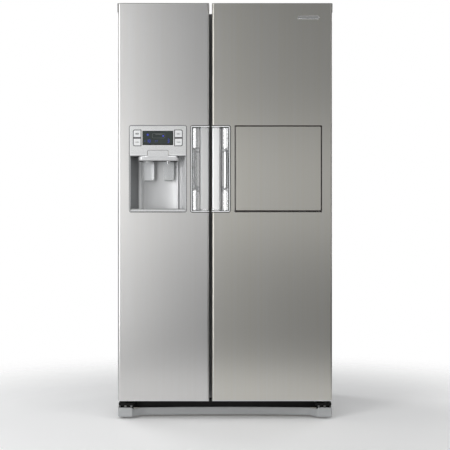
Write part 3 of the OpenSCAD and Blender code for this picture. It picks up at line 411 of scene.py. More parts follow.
def round_rect(a, b, radius, steps=6):
    """The outline of a rectangle with round corners"""
    outline = []
    (left, right), (low, high) = grow(a, -radius), grow(b, -radius)
    for corner, start in (((right, high), 0), ((left, high), 90), ((left, low), 180), ((right, low), 270)):
        outline += arc(corner, radius, start, start + 90, steps)
    return outline


def contour(mesh, axis, a, b, radius, profile, closed=False, steps=6):
    """Carries a profile of (inset, depth) points round a rectangle with round corners"""
    rings = []
    for inset, depth in profile:
        outline = round_rect(grow(a, -inset), grow(b, -inset), max(radius - inset, 0.2), steps)
        rings.append(ring(mesh, axis, outline, depth))
    join(mesh, rings, closed)


def soft(depths, edge):
    """The profile of a plate whose edges are rounded off"""
    first, last = depths
    return [(edge, first), (edge * 0.3, first + edge * 0.3), (0, first + edge),
            (0, last - edge), (edge * 0.3, last - edge * 0.3), (edge, last)]


def slab(mesh, axis, a, b, depths, radius=2, edge=0.6, steps=4):
    """A plate with round corners and rounded edges"""
    contour(mesh, axis, a, b, radius, soft(depths, edge), steps=steps)


def lathe(mesh, axis, centre, profile, steps=32, closed=False):
    """Turns a profile of (radius, depth) points round an axis"""
    join(mesh, [ring(mesh, axis, arc(centre, radius, 0, 360 - 360 / steps, steps - 1), depth)
                for radius, depth in profile], closed)


def prism(mesh, axis, outline, depths, edge=0.0):
    """Extrudes an outline, drawn in a little at both ends where an edge is given"""
    centre_a = sum(p[0] for p in outline) / len(outline)
    centre_b = sum(p[1] for p in outline) / len(outline)
    reach = max(math.hypot(a - centre_a, b - centre_b) for a, b in outline)
    small = 1 - edge / reach
    drawn = [(centre_a + (a - centre_a) * small, centre_b + (b - centre_b) * small) for a, b in outline]
    rows = [(drawn, depths[0]), (outline, depths[0] + edge), (outline, depths[1] - edge), (drawn, depths[1])]
    join(mesh, [ring(mesh, axis, line, depth) for line, depth in (rows if edge else rows[1:3])])


def new_mesh():
    return bmesh.new()


def piece(name, mesh, surface, body, hides=(), smooth=SMOOTH_BELOW):
    """Makes a finished piece that rides on a body and may stand for CAD nodes"""
    bmesh.ops.recalc_face_normals(mesh, faces=mesh.faces)
    data = bpy.data.meshes.new(name)
    mesh.to_mesh(data)
    mesh.free()
    data.materials.append(surface)
    for face in data.polygons:
        face.use_smooth = True
    data.set_sharp_from_angle(angle=math.radians(smooth))
    made = bpy.data.objects.new(name, data)
    bpy.context.scene.collection.objects.link(made)
    weighted = made.modifiers.new("flat_faces_flat", "WEIGHTED_NORMAL")
    weighted.keep_sharp = True
    finish_piece(made, body, hides)
    return made


def finish_piece(made, body, hides=()):
    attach(made, body)
    if hides:
        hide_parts(*hides)


def pipe(name, points, radius, surface, body):
    """A bent tube through points, with smooth bends"""
    data = bpy.data.curves.new(name, "CURVE")
    data.dimensions = "3D"
    data.bevel_depth = radius * MM
    data.bevel_resolution = 3
    data.resolution_u = 5
    data.use_fill_caps = True
    line = data.splines.new("BEZIER")
    line.bezier_points.add(len(points) - 1)
    for knot, point in zip(line.bezier_points, points):
        knot.co = Vector(point) * MM
        knot.handle_left_type = knot.handle_right_type = "AUTO"
    data.materials.append(surface)
    made = bpy.data.objects.new(name, data)
    bpy.context.scene.collection.objects.link(made)
    finish_piece(made, body)
    return made


def screw_head(mesh, axis, centre, face, out, radius=4.0, height=2.2):
    """A domed screw head with a recess, standing out from a face towards out (+1 or -1)"""
    profile = [(radius, face), (radius, face + out * height * 0.4),
               (radius * 0.82, face + out * height * 0.85),
               (radius * 0.5, face + out * height), (radius * 0.42, face + out * height),
               (radius * 0.3, face + out * height * 0.45), (radius * 0.05, face + out * height * 0.4)]
    lathe(mesh, axis, centre, profile, steps=16)


# ---- doors ----


def gap_x(side, u):
    """X of a point that is u away from the middle of the gap between the doors"""
    return GAP_X + side * u


def gap_span(side, u0, u1):
    return tuple(sorted((gap_x(side, u0), gap_x(side, u1))))


HANDLE_Z = grow(extent("freezer_handle")[2], -0.5)
POCKET_U = (8, 80)            # finger pocket, from the gap to its outer wall
POCKET_DEEP = 44
FRAME_U = (79.2, 83.4)        # the thin bright frame round the pocket
JOINT_WIDE = 3.2              # the dark joint outside the frame
EDGE_OPEN = 26                # depth of the opening in the door's side
SCOOP_Z = (978, 1144)         # the middle of the pocket is hollowed out further
SCOOP_BLEND = 26
GRIP_U = (right_skin[0][0] - GAP_X + 0.6, 43.4)
GRIP_LEAN = 1.4               # the bar's face leans back towards the gap


def handle_outline(side, u0, u1, z, radius):
    """A rectangle that is round only at its outer corners, away from the gap"""
    outline = [(u0, z[0])] + arc((u1 - radius, z[0] + radius), radius, 270, 360, 6)
    outline += arc((u1 - radius, z[1] - radius), radius, 0, 90, 6) + [(u0, z[1])]
    return [(gap_x(side, u), v) for u, v in outline]


def curve_through(knots, at):
    """A smooth curve through (place, height) knots, read at a place"""
    for i in range(len(knots) - 1):
        (x0, y0), (x1, y1) = knots[i], knots[i + 1]
        if at <= x1:
            before, after = knots[max(i - 1, 0)], knots[min(i + 2, len(knots) - 1)]
            rise0 = (y1 - before[1]) / (x1 - before[0]) * (x1 - x0)
            rise1 = (after[1] - y0) / (after[0] - x0) * (x1 - x0)
            t = (at - x0) / (x1 - x0)
            return ((2 * t ** 3 - 3 * t ** 2 + 1) * y0 + (t ** 3 - 2 * t ** 2 + t) * rise0
                    + (3 * t ** 2 - 2 * t ** 3) * y1 + (t ** 3 - t ** 2) * rise1)
    return knots[-1][1]


# The pocket's depth by the distance from its outer wall, at its ends and in the hollowed middle
POCKET_ENDS = [(0, 0.8), (4.5, 8.5), (8, 10.6), (13, 13), (18, 15.4), (21, 16.6), (24, 17.1), (30, 17.2),
               (37, 17.4), (48, 28), (72, 36)]
POCKET_SCOOP = [(0, 0.8), (4, 10), (8, 15), (13, 19.2), (18, 22.2), (20, 22.8), (24, 23.1), (30, 23.2),
                (37, 23.4), (48, 32), (72, 39)]
POCKET_COLUMNS = [0, 0.8, 1.6, 2.4, 3.4, 4.4, 5.4, 6.6, 8, 10, 12.5, 15, 18, 21, 25, 29, 34, 40, 48, 58, 69]


def pocket_depth(u, z):
    """How far the pocket's surface lies behind the door's front"""
    into = min(max(min(z - SCOOP_Z[0], SCOOP_Z[1] - z) / SCOOP_BLEND + 0.5, 0), 1)
    into = into * into * (3 - 2 * into)
    from_wall = POCKET_U[1] - u
    ends, scoop = curve_through(POCKET_ENDS, from_wall), curve_through(POCKET_SCOOP, from_wall)
    return ends + (scoop - ends) * into


def handle(side):
    body = BODY[side]
    name = body + "_"
    base_y = FRONT + POCKET_DEEP + 3
    # the pocket: a curved sheet, closed to a solid by its back
    mesh = new_mesh()
    us = [POCKET_U[1] - v for v in reversed(POCKET_COLUMNS)]
    z0, z1 = grow(HANDLE_Z, -2.5)
    blend = [SCOOP_BLEND * (i / 10 - 0.5) for i in range(11)]
    zs = [z0, z0 + 45, z0 + 85] + [SCOOP_Z[0] + b for b in blend] + [1020, 1061, 1102]
    zs += [SCOOP_Z[1] + b for b in blend] + [z1 - 85, z1 - 45, z1]
    front = [ring(mesh, "Z", [(gap_x(side, u), FRONT - 0.8 + max(pocket_depth(u, z), 0.8)) for u in us], z)
             for z in zs]
    back = [ring(mesh, "Z", [(gap_x(side, u), base_y) for u in us], z) for z in zs]
    rows, columns = len(zs) - 1, len(us) - 1
    for i in range(rows):
        for j in range(columns):
            mesh.faces.new((front[i][j], front[i][j + 1], front[i + 1][j + 1], front[i + 1][j]))
            mesh.faces.new((back[i][j], back[i + 1][j], back[i + 1][j + 1], back[i][j + 1]))
    for i in range(rows):
        mesh.faces.new((front[i][0], front[i + 1][0], back[i + 1][0], back[i][0]))
        mesh.faces.new((front[i][-1], back[i][-1], back[i + 1][-1], front[i + 1][-1]))
    for j in range(columns):
        mesh.faces.new((front[0][j], back[0][j], back[0][j + 1], front[0][j + 1]))
        mesh.faces.new((front[-1][j], front[-1][j + 1], back[-1][j + 1], back[-1][j]))
    # the wall beside the gap, and the floor and roof of the pocket
    slab(mesh, "Y", gap_span(side, POCKET_U[0], POCKET_U[0] + 3), HANDLE_Z, (FRONT + EDGE_OPEN, base_y), 0.5,
         0.3)
    for z in ((HANDLE_Z[0], z0), (z1, HANDLE_Z[1])):
        slab(mesh, "Z", gap_span(side, 5, 82), (FRONT, base_y), z, 0.6, 0.3)
    piece(name + "handle_pocket", mesh, CHROME, body, hides=[CABIN[side] + "_handle"], smooth=50)
    # the frame round it, between two thin dark lines in its seams that are painted shadow
    for title, surface, inner, outer, y0, edge in (
            ("handle_frame", BRIGHT_TRIM_AND_PAINTED_HIGHLIGHT, FRAME_U[0], FRAME_U[1], FRONT - 1.3, 0.8),
            ("handle_seam_shadow", SEAM_PAINTED_SHADOW, FRAME_U[1] - 0.3, FRAME_U[1] + JOINT_WIDE, FRONT - 0.3, 0.1),
            ("handle_inner_seam_shadow", SEAM_PAINTED_SHADOW, FRAME_U[0] - 2.4, FRAME_U[0] + 0.3, FRONT - 0.5, 0.1)):
        mesh = new_mesh()
        lines = [handle_outline(side, 5, u, grow(HANDLE_Z, u - 86), max(u - 76, 1))
                 for u in (inner, inner + edge, outer - edge, outer)]
        profile = [(0, FRONT + 1), (0, y0 + edge), (1, y0), (2, y0), (3, y0 + edge), (3, FRONT + 1)]
        join(mesh, [ring(mesh, "Y", lines[i], y) for i, y in profile], closed=True)
        piece(name + title, mesh, surface, body)
    grip(side, name, body)


def grip_outline(shrink):
    """The grip's section in (u, y), drawn in by shrink"""
    front = FRONT - 2 + shrink
    u0, u1 = GRIP_U[0] + shrink, GRIP_U[1] - shrink
    corner = 5 - shrink
    outline = [(u0, FRONT + EDGE_OPEN - 0.5)]
    outline += [(u0 + corner - corner * math.cos(t), front + GRIP_LEAN + corner - corner * math.sin(t))
                for t in [math.radians(15 * i) for i in range(7)]]
    outline += [(u1 - 6.9, front), (u1 - 6.1, front + 0.35), (u1 - 0.6, front + 4.5), (u1, front + 5.1),
                (u1, FRONT + 4.5 - shrink), (u0 + 5, FRONT + 4.5 - shrink), (u0 + 3, FRONT + 6.5),
                (u0 + 3, FRONT + EDGE_OPEN - 0.5)]
    return outline


def grip(side, name, body):
    """The brushed bar that the fingers hold, with a moulded end at the top and bottom"""
    z = grow(HANDLE_Z, -6.5)
    end, groove = 7, 1.0

    def section(shrink):
        return [(gap_x(side, u), y) for u, y in grip_outline(shrink)]

    mesh = new_mesh()
    bar = grow(z, -end)
    core = 1.4                 # the bar runs on under its ends, a little thinner
    join(mesh, [ring(mesh, "Z", section(s), v) for s, v in (
        (core, bar[0] - groove - 1), (core, bar[0]), (0.4, bar[0]), (0, bar[0] + 0.4), (0, bar[1] - 0.4),
        (0.4, bar[1]), (core, bar[1]), (core, bar[1] + groove + 1))])
    piece(name + "grip_bar", mesh, GRIP, body, hides=[CABIN[side] + "_grip"])
    mesh = new_mesh()
    for low, high in ((z[0], bar[0] - groove), (bar[1] + groove, z[1])):
        join(mesh, [ring(mesh, "Z", section(s), v) for s, v in (
            (0.9, low), (0.25, low + 0.8), (0.25, high - 0.8), (0.9, high))])
    piece(name + "grip_ends", mesh, CHROME, body)


for side in (LEFT, RIGHT):
    handle(side)

# ---- dispenser ----

DISP_X, _, DISP_Z = extent("dispenser_housing")
PANEL_X, _, PANEL_Z = extent("dispenser_panel")
WINDOW_X, _, WINDOW_Z = extent("display_window")
CANOPY_X, CANOPY_Y, _ = extent("dispenser_canopy")
TAB_X = (-328, -240)          # the canopy's tab, which stands in a notch of the panel
LEVER_X = {node: middle(extent(node)[0]) for node in ("ice_lever", "water_lever")}
LEVER_Z = extent("ice_lever")[2]
LEVER_Y = middle(extent("ice_lever")[1])
TRAY_X, TRAY_Y, TRAY_Z = extent("drip_tray")
RECESS_DEEP = 94
FREEZER_DOOR = BODY[LEFT]


def bezel():
    """The frame round the dispenser, and a dark ring in the seam round it that is painted shadow"""
    mesh = new_mesh()
    contour(mesh, "Y", DISP_X, DISP_Z, 9, [(inset, FRONT + out) for inset, out in (
        (3.6, 2), (3.6, -0.3), (3.0, -0.9), (2.4, -1), (1.4, -0.9), (0.8, -0.3), (0.8, 0.3))], closed=True)
    piece("dispenser_bezel", mesh, RECESS, FREEZER_DOOR)
    mesh = new_mesh()
    contour(mesh, "Y", grow(DISP_X, 1), grow(DISP_Z, 1), 10, [(inset, FRONT + out) for inset, out in (
        (0, 0.3), (0, -0.3), (2.4, -0.5), (2.4, 0.3))], closed=True)
    piece("dispenser_seam_shadow", mesh, SEAM_PAINTED_SHADOW, FREEZER_DOOR)


def recess_line():
    """The recess seen from above: side walls, a groove, a chamfer on each side and the curved back"""
    x0, x1 = DISP_X[0] + 4.5, DISP_X[1] - 4.5
    back = (x0 + 50, x1 - 36)
    left = [(x0, 1), (x0, 15), (x0 + 27, 82), (x0 + 29, 86.5), (x0 + 31, 88), (x0 + 41, 91), (x0 + 43, 95),
            (x0 + 47, 95), (x0 + 48, 90)]
    right = [(x1 - 34, 90), (x1 - 33, 95), (x1 - 30, 95), (x1 - 28, 91.5), (x1 - 20, 88), (x1 - 17, 86.5),
             (x1 - 16, 82), (x1, 15), (x1, 1)]
    steps, edge_deep = 12, 84.5
    curve = []
    for i in range(steps + 1):
        t = 2 * i / steps - 1
        curve.append((back[0] + (back[1] - back[0]) * i / steps,
                      edge_deep + (RECESS_DEEP - edge_deep) * (1 - t * t) ** 0.7))
    return [(x, FRONT + d) for x, d in left + curve + right]


def recess():
    """The moulded insert that a glass goes into, closed behind as a solid"""
    mesh = new_mesh()
    z = (DISP_Z[0] + 4.4, PANEL_Z[0] - 3)
    inner = recess_line()
    outer = [(DISP_X[1] - 1.6, FRONT + 1), (DISP_X[1] - 1.6, FRONT + 98), (DISP_X[0] + 1.6, FRONT + 98),
             (DISP_X[0] + 1.6, FRONT + 1)]
    join(mesh, [ring(mesh, "Z", inner + outer, v) for v in z])
    floor = [(DISP_X[0] + 2, FRONT + 1), (DISP_X[1] - 2, FRONT + 1), (DISP_X[1] - 5, FRONT + 97),
             (DISP_X[0] + 5, FRONT + 97)]
    prism(mesh, "Z", floor, (DISP_Z[0] + 1.6, z[0] + 0.1))
    prism(mesh, "Z", floor, (z[1] - 0.1, z[1] + 2.8))
    piece("dispenser_recess", mesh, RECESS, FREEZER_DOOR, hides=["dispenser_housing"], smooth=32)
    # a dark plate under the canopy: painted shade in the top of the recess
    mesh = new_mesh()
    slab(mesh, "Z", grow(DISP_X, -5), (FRONT + 1.2, FRONT + 60), (z[1] - 1.2, z[1] - 0.05), 6, 0.3)
    piece("recess_ceiling_shade", mesh, DARK_TRIM_AND_PAINTED_SHADE, FREEZER_DOOR)
    # the left chamfer in near-white: a painted highlight
    mesh = new_mesh()
    near, far = inner[4], inner[5]
    prism(mesh, "Z", [(near[0], near[1] - 0.6), (far[0], far[1] - 0.6), (far[0], far[1] + 0.5),
                      (near[0], near[1] + 0.5)], z, 0.2)
    piece("recess_chamfer", mesh, BRIGHT_TRIM_AND_PAINTED_HIGHLIGHT, FREEZER_DOOR)
    # the insert's side walls: a darker copy of the silver on the left as painted shade, a near-white one on
    # the right as a painted highlight
    for title, near, far, toward, surface in (("left", inner[1], inner[2], 1, WALL_SHADE),
                                              ("right", inner[-2], inner[-3], -1, BRIGHT_TRIM_AND_PAINTED_HIGHLIGHT)):
        mesh = new_mesh()
        prism(mesh, "Z", [(near[0] - 0.3 * toward, near[1]), (near[0] + 0.7 * toward, near[1] + 1),
                          (far[0] + 0.7 * toward, far[1]), (far[0] - 0.3 * toward, far[1] + 1)], z, 0.2)
        piece("recess_wall_" + title, mesh, surface, FREEZER_DOOR)


def panel():
    """The control panel, with a notch for the canopy's tab, and white strips along its lower and left edges
    that are painted highlights
    """
    notch = grow(TAB_X, 1.2)
    radius = 5
    z0, z1 = PANEL_Z

    def line(shrink):
        x0, x1 = grow(PANEL_X, -shrink)
        low, top = z0 + shrink, z1 - shrink
        side_notch = grow(notch, shrink)
        r = radius - shrink
        return ([(x1, low)] + arc((x1 - r, top - r), r, 0, 90, 5) + arc((x0 + r, top - r), r, 90, 180, 5)
                + [(x0, low), (side_notch[0], low), (side_notch[0], z0 + 17 + shrink),
                   (side_notch[0] + 4, z0 + 21.2 + shrink), (side_notch[1] - 4, z0 + 21.2 + shrink),
                   (side_notch[1], z0 + 17 + shrink), (side_notch[1], low)])

    mesh = new_mesh()
    join(mesh, [ring(mesh, "Y", line(s), FRONT + out)
                for s, out in ((0, 5), (0, -0.6), (0.3, -1.1), (0.9, -1.3))])
    piece("control_panel", mesh, FASCIA, FREEZER_DOOR, hides=["dispenser_panel"])
    # white strips along the panel's lower and left edges: painted highlights
    mesh = new_mesh()
    for x, z in (((PANEL_X[0] + 0.6, notch[0] - 0.6), (z0 + 0.2, z0 + 3.2)),
                 ((notch[1] + 0.6, PANEL_X[1] - 0.6), (z0 + 0.2, z0 + 3.2)),
                 ((PANEL_X[0] + 0.4, PANEL_X[0] + 3), (z0 + 3.4, z1 - 6))):
        slab(mesh, "Y", x, z, (FRONT - 1.5, FRONT - 1.0), 0.6, 0.2)
    piece("panel_edge_highlights", mesh, KEY, FREEZER_DOOR)


def corners_outline(x, z, radii, steps=5):
    """A rectangle with its own radius at the upper right, upper left, lower left and lower right corner"""
    outline = []
    for i, (sx, sz) in enumerate(((1, 1), (0, 1), (0, 0), (1, 0))):
        r = radii[i]
        centre = x[sx] + (r if sx == 0 else -r), z[sz] + (r if sz == 0 else -r)
        outline += arc(centre, r, 90 * i, 90 * i + 90, steps)
    return outline


def key_group(side, nodes):
    """A dark surround with its round corners on the outward side, and the two keys in it"""
    x = extent(nodes[0])[0]
    z = (extent(nodes[1])[2][0], extent(nodes[0])[2][1])
    rim, radius, flat = 3.0, 7.6, 0.4
    mesh = new_mesh()
    rings = []
    for inset, y in ((0, FRONT - 1.0), (0, FRONT - 1.38), (0.4, FRONT - 1.5)):
        left = radius - inset if side < 0 else flat
        right = radius - inset if side > 0 else flat
        line = corners_outline(grow(x, rim - inset), grow(z, rim - inset), (right, left, left, right))
        rings.append(ring(mesh, "Y", line, y))
    join(mesh, rings)
    piece(f"keys_{SIDE_NAME[side]}_surround", mesh, DARK_TRIM_AND_PAINTED_SHADE, FREEZER_DOOR)
    for node, round_corner, mark_rows in ((nodes[0], 0 if side > 0 else 1, (0.9, -0.9)),
                                          (nodes[1], 3 if side > 0 else 2, (0,))):
        kx, _, kz = extent(node)
        mesh = new_mesh()
        rings = []
        for shrink, y in ((0.2, FRONT - 1.45), (0.2, FRONT - 1.75), (0.7, FRONT - 1.95), (5, FRONT - 2)):
            radii = [flat] * 4
            radii[round_corner] = max(5.5 - shrink, 1)
            rings.append(ring(mesh, "Y", corners_outline(grow(kx, -shrink), grow(kz, -shrink), radii), y))
        join(mesh, rings)
        piece(node + "_key", mesh, KEY, node, hides=[node])
        mesh = new_mesh()
        for row in mark_rows:
            level = middle(kz) + row * 2
            slab(mesh, "Y", grow((middle(kx), middle(kx)), 8 - abs(row)), (level - 1.2, level + 1.2),
                 (FRONT - 2, FRONT - 1.9), 0.4, 0.04, 2)
        piece(node + "_mark", mesh, KEY_MARK, node)


SEGMENTS = {"0": "abcdef", "1": "bc", "3": "abcdg", "8": "abcdefg", "-": "g"}


def digit(mesh, figure, x, z, height, y):
    """A seven-segment figure whose lower left corner is at x, z"""
    width, half, bar = height * 0.5, height / 2, height * 0.12
    places = {"a": (0, height, 1), "g": (0, half, 1), "d": (0, 0, 1), "f": (0, half, 0),
              "b": (width, half, 0), "e": (0, 0, 0), "c": (width, 0, 0)}
    for segment in SEGMENTS[figure]:
        sx, sz, level = places[segment]
        spans = (((x + sx + bar, x + width - bar), (z + sz - bar / 2, z + sz + bar / 2)) if level else
                 ((x + sx - bar / 2, x + sx + bar / 2), (z + sz + bar, z + sz + half - bar)))
        slab(mesh, "Y", spans[0], spans[1], (y, y + 0.15), bar * 0.4, 0.05, 2)


def display():
    """The dark window with its lit figures"""
    mesh = new_mesh()
    slab(mesh, "Y", grow(WINDOW_X, -0.3), grow(WINDOW_Z, -0.3), (FRONT - 1.5, FRONT + 1.5), 0.8, 0.15)
    piece("display_border", mesh, DISPLAY_EDGE, FREEZER_DOOR, hides=["display_window"])
    glass = (WINDOW_X[0] + 2.5, WINDOW_X[1] - 4), (WINDOW_Z[0] + 5, WINDOW_Z[1] - 3)
    mesh = new_mesh()
    slab(mesh, "Y", glass[0], glass[1], (FRONT - 1.62, FRONT - 1.3), 1, 0.1)
    piece("display_glass", mesh, DISPLAY, FREEZER_DOOR)
    y = FRONT - 1.72
    mesh = new_mesh()
    x0, z0 = WINDOW_X[0] + 8, WINDOW_Z[0] + 11
    for i, figure in enumerate("-18"):
        digit(mesh, figure, x0 + 9.5 * i, z0, 13, y)
    digit(mesh, "1", x0 + 42, z0 + 1, 10, y)
    digit(mesh, "1", x0 + 50, z0 + 1, 10, y)
    digit(mesh, "3", WINDOW_X[1] - 25, z0, 15, y)
    for turn in range(3):               # a six-pointed frost mark
        spoke = [(math.cos(math.radians(60 * turn + s)), math.sin(math.radians(60 * turn + s)))
                 for s in (8, 172, 188, 352)]
        prism(mesh, "Y", [(x0 + 15 + 5.2 * a, z0 + 33 + 5.2 * b) for a, b in spoke], (y, y + 0.15))
    lathe(mesh, "Y", (WINDOW_X[1] - 43, WINDOW_Z[1] - 22), [(3.4, y + 0.15), (3.4, y), (1.2, y - 0.02)], 20)
    piece("display_figures", mesh, GLOW, FREEZER_DOOR)
    mesh = new_mesh()
    contour(mesh, "Y", (WINDOW_X[0] + 42, WINDOW_X[1] - 35), (WINDOW_Z[1] - 31, WINDOW_Z[1] - 12), 4,
            [(0, y + 0.15), (0, y), (0.9, y), (0.9, y + 0.15)], closed=True)
    slab(mesh, "Y", (WINDOW_X[0] + 55, WINDOW_X[1] - 46), (WINDOW_Z[1] - 15.5, WINDOW_Z[1] - 13.7),
         (y, y + 0.15), 0.5, 0.04)
    piece("display_outline", mesh, GLOW_GREY, FREEZER_DOOR)


def canopy():
    """The bright lip over the recess, its tab, and the ice spout and water nozzle under it"""
    lip_z = (PANEL_Z[0] - 24, PANEL_Z[0] - 3)
    front = CANOPY_Y[0]
    mesh = new_mesh()
    profile = [(7, lip_z[0]), (3, lip_z[0] + 1.2), (0.8, lip_z[0] + 4), (0, lip_z[0] + 8), (0, lip_z[0] + 12),
               (0.6, lip_z[0] + 16), (2.5, lip_z[1] - 1.5), (6, lip_z[1])]
    contour(mesh, "Z", CANOPY_X, (front, FRONT + 56), 16, profile, steps=8)
    low, shoulder, high = lip_z[1] - 4, PANEL_Z[0] + 17, PANEL_Z[0] + 20
    outline = [(TAB_X[1], low), (TAB_X[1], shoulder), (TAB_X[1] - 3.5, high), (TAB_X[0] + 3.5, high),
               (TAB_X[0], shoulder), (TAB_X[0], low)]
    prism(mesh, "Y", outline, (front, FRONT + 4), 0.8)
    piece("canopy_lip", mesh, CANOPY, FREEZER_DOOR, hides=["dispenser_canopy"])
    mesh = new_mesh()
    slab(mesh, "Y", grow(TAB_X, 0.9), (PANEL_Z[0] + 14, high + 0.9), (FRONT - 0.9, FRONT + 1), 3, 0.2)
    contour(mesh, "Z", grow(CANOPY_X, -3.5), (front + 3.5, FRONT + 52), 13,
            [(0, lip_z[0] + 0.4), (0, lip_z[0] - 1.8), (2, lip_z[0] - 2.2), (2, lip_z[0] + 0.4)], closed=True)
    piece("canopy_shadow_line", mesh, DARK_TRIM_AND_PAINTED_SHADE, FREEZER_DOOR)
    mesh = new_mesh()
    spout = (LEVER_X["ice_lever"], FRONT + 34)
    lathe(mesh, "Z", spout, [(radius, lip_z[0] + up) for radius, up in (
        (21, 1), (20.6, -6.5), (19.8, -7.8), (18.6, -7.8), (18, -6.5), (18, 1))], 40, closed=True)
    piece("ice_spout", mesh, RECESS, FREEZER_DOOR)
    mesh = new_mesh()
    nozzle = (LEVER_X["water_lever"], FRONT + 30)
    lathe(mesh, "Z", nozzle, [(radius, lip_z[0] + up) for radius, up in (
        (10, 1), (9.6, -2), (7, -4), (5.4, -12), (4.6, -13.6), (3.2, -13.6), (3, -11), (0.2, -10))], 28)
    piece("water_nozzle", mesh, CHROME, FREEZER_DOOR)


def lever(node, surface):
    """A paddle with a raised rim that hangs from its pin"""
    x, half = LEVER_X[node], 23
    bottom, pivot = LEVER_Z[0], LEVER_Z[1] - 5
    spans = (x - half, x + half), (bottom, pivot - 1)
    mesh = new_mesh()
    front, back = LEVER_Y - 2, LEVER_Y + 2
    contour(mesh, "Y", spans[0], spans[1], 12, [
        (0.8, back), (0, back - 0.8), (0, front + 0.8), (0.8, front), (2.6, front), (3.6, front + 0.6),
        (9, front + 1.5), (16, front + 1.9)], steps=8)
    lathe(mesh, "X", (LEVER_Y, pivot), [(4, x - half), (5, x - half + 1), (5, x + half - 1),
                                        (4, x + half)], 24)
    lathe(mesh, "X", (LEVER_Y, pivot), [(2, x - half - 4), (2.5, x - half - 3.5), (2.5, x + half + 3.5),
                                        (2, x + half + 4)], 20)
    piece(node + "_paddle", mesh, surface, node, hides=[node])
    mesh = new_mesh()
    slab(mesh, "Y", (x - 17, x + 17), (bottom, bottom + 2.2), (front - 0.1, front + 2), 1, 0.2)
    piece(node + "_lip", mesh, DARK_TRIM_AND_PAINTED_SHADE, node)
    mesh = new_mesh()
    for e in (-1, 1):
        inner = x + e * (half + 0.6)
        slab(mesh, "X", (LEVER_Y - 6, FRONT + 93), (pivot - 6, PANEL_Z[0] - 3),
             tuple(sorted((inner, inner + 3.2 * e))), 2, 0.4)
    piece(node + "_bracket", mesh, RECESS, FREEZER_DOOR)


def drip_tray():
    """A shallow tray under a slotted grate"""
    z0, z1 = TRAY_Z
    mesh = new_mesh()
    x = grow(TRAY_X, -0.5)
    y = (TRAY_Y[0] + 0.5, TRAY_Y[1] - 0.5)

    def line(inset):
        (left, right), (near, far) = grow(x, -inset), grow(y, -inset)
        return [(left, near), (right, near), (right, y[0] + 11), (right - 18.5, far), (left + 33, far),
                (left, y[0] + 11)]

    join(mesh, [ring(mesh, "Z", line(s), v) for s, v in (
        (1, z0), (0, z0 + 1), (0, z1 - 0.8), (0.8, z1), (2.4, z1), (2.8, z1 - 0.6), (2.8, z1 - 4))])
    piece("drip_tray_pan", mesh, GRATE, "drip_tray", hides=["drip_tray"])
    mesh = new_mesh()
    bars = 13
    for i in range(bars):
        bx = x[0] + 34 + (x[1] - x[0] - 56) * i / (bars - 1)
        slab(mesh, "Z", (bx - 3.2, bx + 3.2), (y[0] + 8, y[1] - 4), (z1 - 3.8, z1 - 1.2), 2, 0.8)
    for cross in (y[0] + 6, y[1] - 7):
        slab(mesh, "Z", (x[0] + 28, x[1] - 18), (cross, cross + 4), (z1 - 4, z1 - 1.6), 1.5, 0.8)
    piece("drip_grate", mesh, SILVER, "drip_tray")
    mesh = new_mesh()
    slab(mesh, "Y", grow(DISP_X, -4), (DISP_Z[0] + 3.3, DISP_Z[0] + 5.6), (FRONT - 0.4, FRONT + 2.6), 1, 0.3)
    piece("sill_joint", mesh, DARK_TRIM_AND_PAINTED_SHADE, FREEZER_DOOR)
    # a near-white strip along the front of the recess floor: a painted highlight
    mesh = new_mesh()
    slab(mesh, "Y", grow(DISP_X, -5), (DISP_Z[0] + 5.8, DISP_Z[0] + 10), (FRONT + 0.2, FRONT + 2.8), 1, 0.8)
    piece("recess_sill", mesh, BRIGHT_TRIM_AND_PAINTED_HIGHLIGHT, FREEZER_DOOR)


bezel()
recess()
panel()
key_group(LEFT, ("button_upper_left", "button_lower_left"))
key_group(RIGHT, ("button_upper_right", "button_lower_right"))
display()
canopy()
lever("ice_lever", LEVER_ICE)
lever("water_lever", LEVER_WATER)
drip_tray()

# ---- home bar ----

BAR_X, _, BAR_Z = extent("homebar_door")
BAR_HOLE = (grow(BAR_X, 3), (BAR_Z[0] - 4, BAR_Z[1] + 3))     # the opening in the steel round the panel
BAR_TRAY_BACK = extent("homebar_tray")[1][1]
BAR_BODY = "homebar_door"


